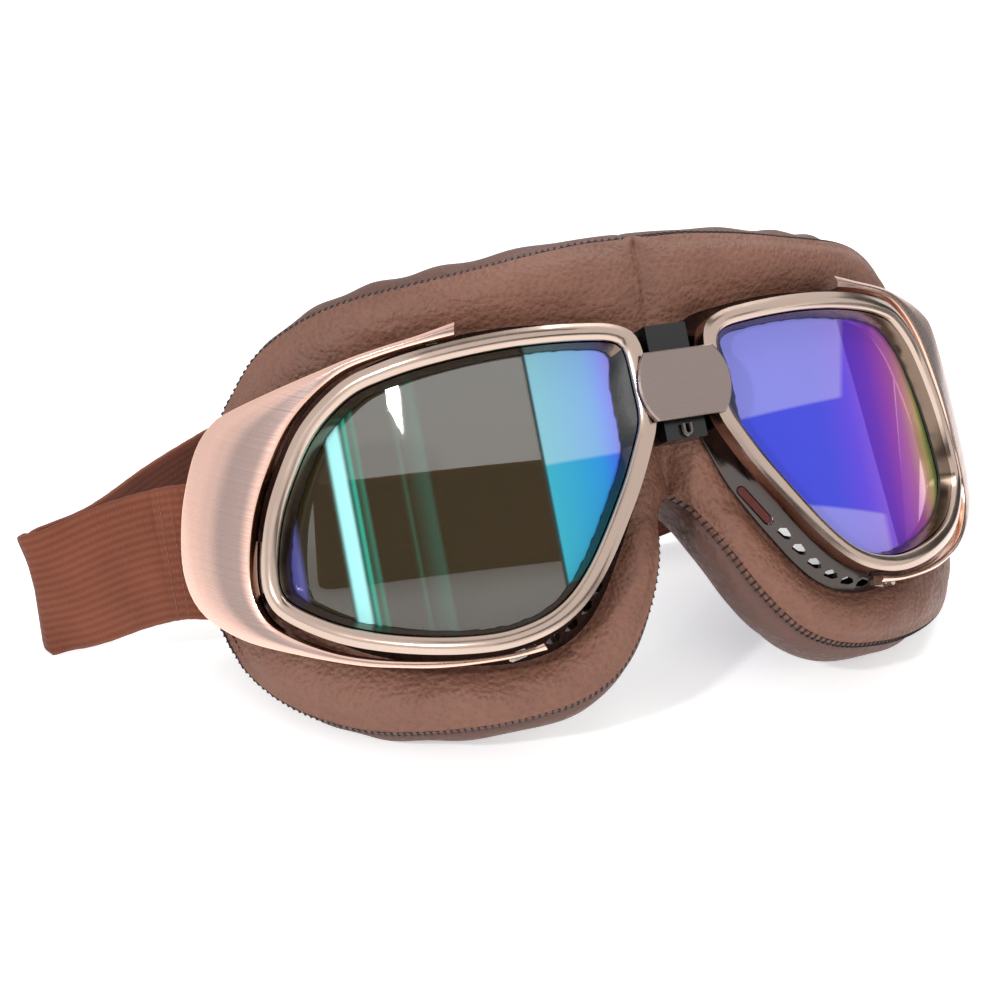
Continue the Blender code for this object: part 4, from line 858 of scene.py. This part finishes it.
# Rims, seals, lenses, housings and wings
lip_steps = 10
lip_fall_share = 0.5  # the lip falls back by this share of the crown at the outer edge
lip_gain_share = 0.4  # and by so much more at the lens
lip_fullness = 1.6
seal_jag = 0.18 * MM  # the seal's inner edge is this uneven
boss_black_share = 0.3  # the seal is black where its boss is higher than this
lens_rings = 12
lip_round = 0.25 * flange_thickness
flare_share = 0.42  # how far the flare has opened at half its depth
housing_smooth = 35
wing_spans = 6
wing_swell = 0.25 * MM
wing_edge_faces = (0, 1, 2, 9, 10, 11)  # faces of its section with the bright edge's look
sides = ((-1, "left", "root"), (1, "right", "right_half"))
for side, which, body in sides:
    lip = [(0.0, rim_depth), (0.0, rim_shoulder_share * rim_depth)]
    for k in range(1, lip_steps + 1):
        turned = math.cos(math.pi * k / lip_steps)
        lip.append(((turned - 1) / 2 * rim_lip, rim_crown * abs(turned) ** lip_fullness
                    * (lip_fall_share + lip_gain_share * k / lip_steps)))
    lip.append((-rim_lip, rim_depth))
    mesh = around_eye("rim", side, [(rim_radii(o), d) for o, d in lip], eye_angles, 50)
    obj = piece("rim_shell_" + which, mesh, copper_rim)
    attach(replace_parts(obj, "rim_" + which), body)

    edge = rim_radii(-rim_lip - fit_gap)
    at = np.arange(eye_steps)
    jag = seal_jag * np.sin(at * 2.4) * np.sin(at * 0.9 + 1.3)
    near = np.exp(-((eye_up + edge * np.sin(eye_angles) - badge_up) / seal_boss_height) ** 4)
    boss = seal_boss * near * (np.cos(eye_angles) < 0)
    # Share of the seal's width, share of the jag, and the depth there
    slope = [(0.0, 0.0, seal_front), (0.5, 0.0, seal_front + 0.35 * seal_depth),
             (0.86, 0.5, rim_depth - 0.16 * seal_depth), (1.0, 1.0, rim_depth)]
    profile = [(edge - a * (seal_width + boss) + b * jag, depth) for a, b, depth in slope]
    mesh = around_eye("seal", side, profile + [(edge, rim_depth)], eye_angles)
    obj = piece("seal_ring_" + which, mesh, seal_black, copper_inner)
    for face in mesh.polygons[:2 * eye_steps]:
        if boss[face.index % eye_steps] <= boss_black_share * seal_boss:
            face.material_index = 1
    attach(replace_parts(obj, "lens_seal_" + which), body)

    edge = rim_radii(-lens_inset)
    bm = bmesh.new()
    layer = bm.loops.layers.uv.new("UVMap")
    edges = []
    for depth in (lens_front, lens_back):
        grid = [[bm.verts.new(world_of_mask @ p)
                 for p in ring(side, edge * k / lens_rings, depth, eye_angles)]
                for k in range(1, lens_rings + 1)]
        pole = bm.verts.new(world_of_mask @ from_eye(side, 0.0, 0.0, depth))
        bands(bm, grid)
        for i in range(eye_steps):
            bm.faces.new((pole, grid[0][(i + 1) % eye_steps], grid[0][i]))
        edges.append(grid[-1])
    bands(bm, edges)
    to_mask = world_of_mask.inverted()
    spread = [v.co.x for v in edges[0]]
    rise = eye_up + edge * np.sin(eye_angles)
    for face in bm.faces:
        for loop in face.loops:
            spot = loop.vert.co
            loop[layer].uv = ((spot.x - min(spread)) / (max(spread) - min(spread)),
                              ((to_mask @ spot).z - min(rise)) / (max(rise) - min(rise)))
    obj = piece("lens_plate_" + which, finished("lens", bm), lens_mats[which])
    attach(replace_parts(obj, "lens_" + which), body)

    shelf_front = lens_back + fit_gap
    shelf_back = shelf_front + shelf_thickness
    inner = fit_gap - lens_inset
    base = rim_radii(0.0)
    waist = base + wall_waist
    out = base + flange_out(eye_angles)
    wall = [(base - wall_inset, wall_front), (waist, waist_depth),
            (waist + (out - waist) * flare_share, (flange_front + waist_depth) / 2),
            (out - lip_round, flange_front), (out, flange_front + lip_round),
            (out, housing_depth - lip_round), (out - lip_round, housing_depth),
            (out - flange_rest, housing_depth)]
    wall += [(rim_radii(distance), depth) for distance, depth in (
        (inner + 0.5 * housing_wall, shelf_back), (inner - shelf_width, shelf_back),
        (inner - shelf_width, shelf_front), (inner, shelf_front), (inner, wall_front))]
    cup = piece("housing_shell_" + which, around_eye("housing", side, wall, eye_angles),
                chrome_dark)
    holes = [(slot_outline(slot_length, slot_height), slot_from_nose, slot_up_share)]
    holes += [([(-a * fin_length, b * fin_height) for a, b in fin_share],
               fins_from_nose + k * fin_pitch, fin_up_share) for k in range(fin_count)]
    tools = []
    for outline, distance, share in holes:
        rows = [[(x, y, z) for x, y in outline] for z in (-vent_cut / 2, vent_cut / 2)]
        spot = world_of_mask @ vent_frame(side, distance, share)
        tools.append(piece("cut", world_mesh("cut", rows, False, spot), chrome_dark))
        mod = cup.modifiers.new("cut", "BOOLEAN")
        mod.object = tools[-1]
        mod.operation = "DIFFERENCE"
    bpy.context.view_layer.update()
    cut = cup.evaluated_get(bpy.context.evaluated_depsgraph_get())
    mesh = bpy.data.meshes.new_from_object(cut)
    cup.modifiers.clear()
    cup.data = mesh
    mesh.set_sharp_from_angle(angle=math.radians(housing_smooth))
    for tool in tools:
        bpy.data.objects.remove(tool, do_unlink=True)
    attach(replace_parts(cup, "housing_" + which), body)

    strip = slot_outline(slot_length - 2 * fit_gap, slot_height - 2 * fit_gap)
    rows = [[(x, y, z) for x, y in strip] for z in (-fit_gap - foam_strip_depth, -fit_gap)]
    spot = world_of_mask @ vent_frame(side, slot_from_nose, slot_up_share)
    obj = piece("slot_foam_" + which, world_mesh("slot_foam", rows, False, spot), vent_foam)
    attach(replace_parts(obj, "vent_foam_" + which), body)

    # The wing's section: over the inner edge, the swelling face and the outer edge to the back
    wing_back = wing_front + wing_thickness
    corner = [(0.0, wing_back), (0.0, wing_front + wing_round),
              (0.3 * wing_round, wing_front + 0.3 * wing_round), (wing_round, wing_front)]
    rows = []
    for angle, near, far in zip(wing_angles, wing_inner, wing_outer):
        profile = [(near + inset, depth) for inset, depth in corner]
        for k in range(1, wing_spans):
            face_width = far - near - 2 * wing_round
            profile.append((near + wing_round + face_width * k / wing_spans,
                            wing_front - wing_swell * math.sin(math.pi * k / wing_spans)))
        profile += [(far - inset, depth) for inset, depth in corner[::-1]]
        profile.append(((near + far) / 2, wing_back))
        rows.append([from_eye(side, angle, radius, depth) for radius, depth in profile])
    mesh = world_mesh("wing", rows, False, world_of_mask, 30)
    obj = piece("wing_plate_" + which, mesh, copper_wing, copper_edge)
    width = len(rows[0])
    for face in mesh.polygons[:width * (len(rows) - 1)]:
        if face.index % width in wing_edge_faces:
            face.material_index = 1
    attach(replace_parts(obj, "wing_" + which), body)

# Leather front with its swelling, wrinkles and edge
notch_spot = np.array([0.0, pad_notch_up])
fold_depth = 0.75 * MM
fold_reach = 17.0 * MM
ripple_depth = 0.12 * MM
groove_depth = 0.45 * MM  # the leather is drawn in beside its stitches
groove_share = 1 / 7  # this share of the way in from the edge
free_half = 4.0 * MM  # groove and bevel fade out this near the nose plane
bevel_share = 0.25  # of the leather's thickness, at its edge
bevel_run = 20.0 * MM  # the leather's rough width, for the bevel on its back
foam_bulge = 0.3 * MM  # how far the lining's inner edge swells
roll_inset = 0.4 * MM  # the roll begins this far inside the leather's edge
gather_share = 0.09  # the roll is gathered, so its swelling varies by this share
gather_count = 19


def wrinkles(flat, share):
    """Small folds that run out from the nose notch, with a ripple over all of the leather."""
    x, y = flat.T
    away_x, away_y = (flat - notch_spot).T
    distance = np.hypot(away_x, away_y)
    folds = np.cos(np.arctan2(away_y, away_x) * 11.0 + 40.0 * distance)
    folds *= np.exp(-(distance / fold_reach) ** 2)
    ripple = np.sin(x * 470.0 + 2.1 * np.sin(y * 260.0)) * np.sin(y * 390.0)
    return (fold_depth * folds + ripple_depth * ripple) * math.sin(math.pi * share)


# Points of the stitches: mm along the edge, in from it and behind the leather's face
stitch_pitch = 1.5 * MM
stitch_start = 0.3 * MM  # no stitch lies nearer to the nose plane
thick = leather_thickness / MM
whip_stitch = ((-0.18, 0.40, -0.26), (0.0, -0.22, 0.35 * thick), (0.15, -0.22, 0.8 * thick),
               (0.30, 0.5, thick + 0.1))
dot_stitch = ((-0.55, 2.55, 0.06), (-0.2, 2.5, -0.15), (0.2, 2.5, -0.15), (0.55, 2.55, 0.06))
chain_stitch = ((0.0, 0.55), (0.5, 0.71))  # share of the pitch along, mm in
halves = {"pad_leather": [], "pad_lining": [], "face_cushion": []}
for side, which, _ in sides:
    tucked = pad_flange - pad_tuck
    free = np.clip(edge_spot[:, 0] / free_half, 0.0, 1.0)
    profile = [(tucked, pad_seat)]
    for k in range(leather_rows + 1):
        share = k / leather_rows
        radius = leather_radius(share)
        groove = groove_depth * math.exp(-((1 - share) / groove_share * 2.0 - 2.0) ** 2)
        depth = leather_depth(share) - wrinkles(flat_spots(radius), share) + groove * free
        if k == leather_rows:
            radius = radius - bevel_share * leather_thickness * free
        profile.append((radius, depth))
    profile += [(leather_radius(1.0), leather_depth(1.0) + share * leather_thickness)
                for share in (bevel_share, 1 - bevel_share)]
    profile += [(leather_radius(share), leather_depth(share) + leather_thickness)
                for share in (1 - bevel_share * leather_thickness / bevel_run,
                              roll_middle_share, roll_start_share, 0.0)]
    profile.append((tucked, pad_seat + leather_thickness))
    halves["pad_leather"].append(around_eye("pad", side, profile, pad_angles))

    start = pad_seat + behind_leather
    stop = leather_radius(roll_start_share) - soft_gap
    deep = leather_depth(roll_start_share) + behind_leather
    profile = [(stop, deep), (leather_radius(0.0), start), (tucked, start),
               (tucked - foam_bulge, start + 0.5 * foam_thickness),
               (tucked, start + foam_thickness), (stop, deep + foam_thickness)]
    halves["pad_lining"].append(around_eye("lining", side, profile, pad_angles))

    deep = leather_depth(1.0) + behind_leather
    width = pad_edge - leather_radius(roll_start_share)
    top = np.maximum(np.sin(pad_angles), 0.0)
    turn = np.arange(len(pad_angles)) * 2 * math.pi / len(pad_angles)
    swell = roll_swell + (roll_swell_top - roll_swell) * top
    swell *= np.clip((edge_spot[:, 0] + top * notch_spread) / notch_spread, 0.0, 1.0)
    swell *= 1 + gather_share * np.sin(turn * gather_count + 2 * np.sin(turn * 3))
    profile = [(pad_edge - roll_inset, deep)]
    profile += [(leather_radius(share), leather_depth(share) + behind_leather)
                for share in (roll_middle_share, roll_start_share)]
    profile += [(pad_edge - a * width, deep + b * roll_depth) for a, b in roll_back_share]
    profile += [(pad_edge + a * swell, deep + b * roll_depth) for a, b in roll_side_share]
    mesh = around_eye("roll", side, spline(profile, 4, True), pad_angles)
    halves["face_cushion"].append(mesh)

    # Whip stitches round the edge with a chain along them, and a dotted row further in
    shown = [i for i in range(len(pad_angles)) if edge_spot[i, 0] > stitch_start]
    gaps = np.diff(np.append(pad_angles[shown], pad_angles[shown][0] + 2 * math.pi))
    first = (int(np.argmax(gaps)) + 1) % len(shown)
    shown = shown[first:] + shown[:first]
    angles_of = np.unwrap(pad_angles[shown])
    along = lengths_along(flat_spots(pad_edge)[shown])
    count = int(along[-1] / stitch_pitch)

    def at_edge(distance, inset, depth):
        """Place in the world along the edge; inset and depth are in mm."""
        angle = float(np.interp(distance, along, angles_of))
        radius = float(np.interp(angle, angles_of, pad_edge[shown])) - inset * MM
        seam = float(np.interp(angle, angles_of, pad_seam_depth[shown])) + depth * MM
        return world_of_mask @ from_eye(side, angle, radius, seam)

    whip = []
    chain = []
    dots = []
    for k in range(count):
        at = (k + 0.5) * along[-1] / count
        wave = 0.12 * math.sin(k * 1.7)
        whip.append([at_edge(at - 0.30 * MM, 0.90 + wave, -0.18)]
                    + [at_edge(at + a * MM, inset, depth) for a, inset, depth in whip_stitch])
        if k < count - 1:
            chain += [at_edge(at + stitch_pitch * share, inset + wave, -0.14)
                      for share, inset in chain_stitch]
            dots.append([at_edge(at + a * MM, inset, depth) for a, inset, depth in dot_stitch])
    obj = piece("edge_stitches_" + which, threads("whip", whip + [chain], 0.19 * MM),
                black_thread)
    crosses_nose(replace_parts(obj, "seam_thread_" + which))
    obj = piece("second_stitches_" + which, threads("dots", dots, 0.17 * MM), red_thread)
    crosses_nose(obj)

for name, mat, slot_name, node, fill, first, last in (
        ("pad_leather", leather, "brown_leather", "pad_front", 0.7, 1, leather_rows - 2),
        ("pad_lining", inner_foam, "grey_foam", "pad_foam", 0.5, 0, 0),
        ("face_cushion", roll_leather, "dark_leather", "face_roll", 0.8, 12, 26)):
    obj = piece(name, welded(name, halves[name], 75, first, last), mat)
    crosses_nose(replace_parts(obj, node + "_left", node + "_right"))

# Strap
face_half = 0.47  # of the webbing's width, to the start of its soft edge
face_spans = 12
fray_depth = 0.10 * MM
webbing_front = [(-0.495, 0.35)]
webbing_front += [(face_half * (2 * k / face_spans - 1), 0.5) for k in range(face_spans + 1)]
webbing_front += [(0.495, 0.35), (0.5, 0.0)]
webbing_section = [(-0.5, 0.0)] + webbing_front + [(-a, -b) for a, b in webbing_front[:-1]]


def strap_mesh(name, spots, ups, matrix=Matrix.Translation(shift)):
    """Webbing along the spots, with a rounded section. Its UVs have x along it, y across it."""
    rows = []
    for j, (spot, ahead, up) in enumerate(zip(spots, np.gradient(spots, axis=0), ups)):
        ahead = unit(ahead)
        up = unit(up - ahead * np.dot(up, ahead))
        fray = fray_depth * math.sin(j * 2.3) * math.sin(j * 0.7)
        rows.append([spot + up * a * (strap_width + (fray if abs(a) > face_half else 0.0))
                     + np.cross(ahead, up) * b * strap_thickness for a, b in webbing_section])
    mesh = world_mesh(name, rows, False, matrix, 60)
    for loop in mesh.uv_layers[0].data:
        loop.uv = loop.uv.yx
    return mesh


seam_tuck = 1.2 * MM  # the webbing reaches this far in between the doubled ends
webbing_step = 1.5 * MM


def stretch(start, stop):
    """Spots and width directions of the webbing between two lengths along its course."""
    count = max(3, int((stop - start) / webbing_step))
    return zip(*(on_route(start + (stop - start) * k / count) for k in range(count + 1)))


spots, ups = stretch(doubled_length - seam_tuck, middle_length)
obj = piece("webbing_left", strap_mesh("webbing", spots, ups), webbing)
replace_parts(obj, "strap_left")
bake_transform(obj)
spots, ups = stretch(middle_length, total_length - doubled_length + seam_tuck)
obj = piece("webbing_right", strap_mesh("webbing", spots, ups), webbing)
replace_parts(obj, "strap_right")
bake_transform(obj)

turn_radius = bar_radius + loop_gap + strap_thickness / 2  # of the webbing round the bar
close = (strap_thickness + fit_gap) / 2  # from the doubled end's middle to that of a layer
doubled_steps = 27
turn_steps = 18
end_seams = (1.6 * MM, 4.2 * MM)  # from the end of the doubled webbing
end_stitches = 9  # to each side of the webbing's middle
end_pitch = 1.4 * MM
for side, which, body in sides:
    line = []
    for k in range(doubled_steps):
        share = 1 - k / doubled_steps
        opened = max(0.0, 1 - share / turn_share) ** turn_ease_share
        line.append((doubled_length * share, close + (turn_radius - close) * opened))
    back = [(a, -b) for a, b in line[::-1]]
    for k in range(turn_steps + 1):
        angle = math.pi / 2 + math.pi * k / turn_steps
        line.append((turn_radius * math.cos(angle), turn_radius * math.sin(angle)))
    spots, ups = zip(*(beside_route(a if side < 0 else total_length - a, b)
                       for a, b in line + back))
    obj = piece("webbing_end_" + which, strap_mesh("webbing_end", spots, ups), webbing)
    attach(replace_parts(obj, "strap_end_" + which), body)
    seams = []
    for inset in end_seams:
        at = doubled_length - inset
        for aside in (close + strap_thickness / 2, -close - strap_thickness / 2):
            middle, up = beside_route(at if side < 0 else total_length - at, aside)
            seams += [[Vector(middle + up * (k * end_pitch + a * MM)) + shift
                       for a in (-0.5, 0.0, 0.5)] for k in range(-end_stitches, end_stitches + 1)]
    obj = piece("end_stitches_" + which, threads("seam", seams, 0.16 * MM), brown_thread)
    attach(obj, body)

tail_steps = 18
tail_run = slider_length + tail_length - fit_gap
spots = []
for k in range(tail_steps + 1):
    along = fit_gap - slider_length / 2 + tail_run * k / tail_steps
    spots.append(np.array(slider_frame @ Vector((along, strap_thickness + slider_clearance, 0.0))))
ups = [np.array(slider_frame.to_3x3().col[2])] * len(spots)
obj = piece("webbing_tail", strap_mesh("tail", spots, ups, Matrix.Identity(4)), webbing)
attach(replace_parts(obj, "strap_tail"), "slider")

# CAD pieces that stay, with their finishes; the longest name that fits counts
finishes = {"strap_bracket": bright_steel, "strap_bar": bright_steel,
            "arm_clip_lower": bright_steel, "arm_clip_upper": bright_steel,
            "hinge_pin": bright_steel, "hinge_clip": dark_steel, "badge_post": bright_steel,
            "strap_slider": bright_steel, "badge": badge_metal, "bridge_block": gloss_black,
            "hinge_ear": gloss_black}
for name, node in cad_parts.items():
    if not node.hide_render:
        key = max((k for k in finishes if name.startswith(k)), key=len)
        node.data.materials.clear()
        node.data.materials.append(finishes[key])

# Camera at the photograph's angle
camera = bpy.data.cameras.new("camera")
camera.lens = 53.0
camera.sensor_width = 36.0
camera_object = piece("camera", camera)
camera_object.location = (-0.116422, -0.283971, 0.174630)
camera_object.rotation_euler = Euler([math.radians(a) for a in (63.92, -0.14, -20.82)])
bpy.context.scene.camera = camera_object


# Floor, background and lights
def plane(name, size, shader):
    """Flat square that isn't part of the object."""
    mesh = bpy.data.meshes.new(name)
    bm = bmesh.new()
    bmesh.ops.create_grid(bm, x_segments=1, y_segments=1, size=size)
    bm.to_mesh(mesh)
    bm.free()
    obj = piece(name, mesh, shader.mat)
    return obj


def seen_ray(tree):
    """1 for camera, glossy and transmission rays, 0 for the light that falls on things."""
    path = tree.nodes.new("ShaderNodeLightPath")
    total = path.outputs["Is Camera Ray"]
    for name in ("Is Glossy Ray", "Is Transmission Ray"):
        node = tree.nodes.new("ShaderNodeMath")
        node.operation = "MAXIMUM"
        tree.links.new(total, node.inputs[0])
        tree.links.new(path.outputs[name], node.inputs[1])
        total = node.outputs[0]
    return total


s = Shader("floor_white", (0.93, 0.93, 0.93), 0.0, 0.6)
s.set(Specular_IOR_Level=0.1, Emission_Color=(1.0, 1.0, 1.0, 1.0),
      Emission_Strength=s.times(seen_ray(s.tree), 0.42))
plane("floor", 3.0, s).location = (0.0, 0.0, -0.0002)

world = bpy.data.worlds.new("studio")
bpy.context.scene.world = world
world.use_nodes = True
backdrop = world.node_tree.nodes["Background"]
backdrop.inputs["Color"].default_value = (1.0, 1.0, 1.0, 1.0)
level = world.node_tree.nodes.new("ShaderNodeMapRange")
world.node_tree.links.new(seen_ray(world.node_tree), level.inputs["Value"])
level.inputs["To Min"].default_value = 0.62
level.inputs["To Max"].default_value = 1.0
world.node_tree.links.new(level.outputs["Result"], backdrop.inputs["Strength"])


def aim(obj, spot, target, axis):
    obj.location = spot
    obj.rotation_euler = (Vector(target) - Vector(spot)).to_track_quat(axis, "Y").to_euler()


for name, spot, size, power in (("key", (-0.670, -0.445, 0.508), 0.05, 3.2),
                                ("fill", (0.10, -0.85, 0.42), 0.60, 3.0),
                                ("top", (0.25, 0.10, 0.80), 0.45, 3.2)):
    data = bpy.data.lights.new(name, "AREA")
    data.energy = power
    data.size = size
    obj = piece(name, data)
    obj.visible_glossy = name != "fill"
    aim(obj, spot, (0.0, -0.02, 0.04), "-Z")

# Studio cards that only show in glossy surfaces
for name, spot, target, wide, tall, shade in (
        ("card_right", (0.85, 0.12, 0.16), (0.0, -0.02, 0.05), 0.40, 0.5, 0.05),
        ("card_front", (0.05, -0.85, 0.20), (0.0, -0.02, 0.05), 1.1, 0.20, 0.08),
        ("card_low", (0.42, 0.02, 0.012), (0.42, 0.02, 0.50), 0.40, 0.5, 0.20),
        ("card_above", (-0.10, -0.30, 0.95), (0.0, -0.02, 0.05), 1.0, 0.22, 0.12)):
    s = Shader(name, (0.0, 0.0, 0.0))
    s.set(Emission_Color=(shade, shade, shade, 1.0), Emission_Strength=1.0)
    obj = plane(name, 0.5, s)
    obj.scale = (wide, tall, 1.0)
    aim(obj, spot, target, "Z")
    for ray in ("camera", "diffuse", "shadow", "transmission", "volume_scatter"):
        setattr(obj, "visible_" + ray, False)

bpy.context.scene.view_settings.view_transform = "Standard"
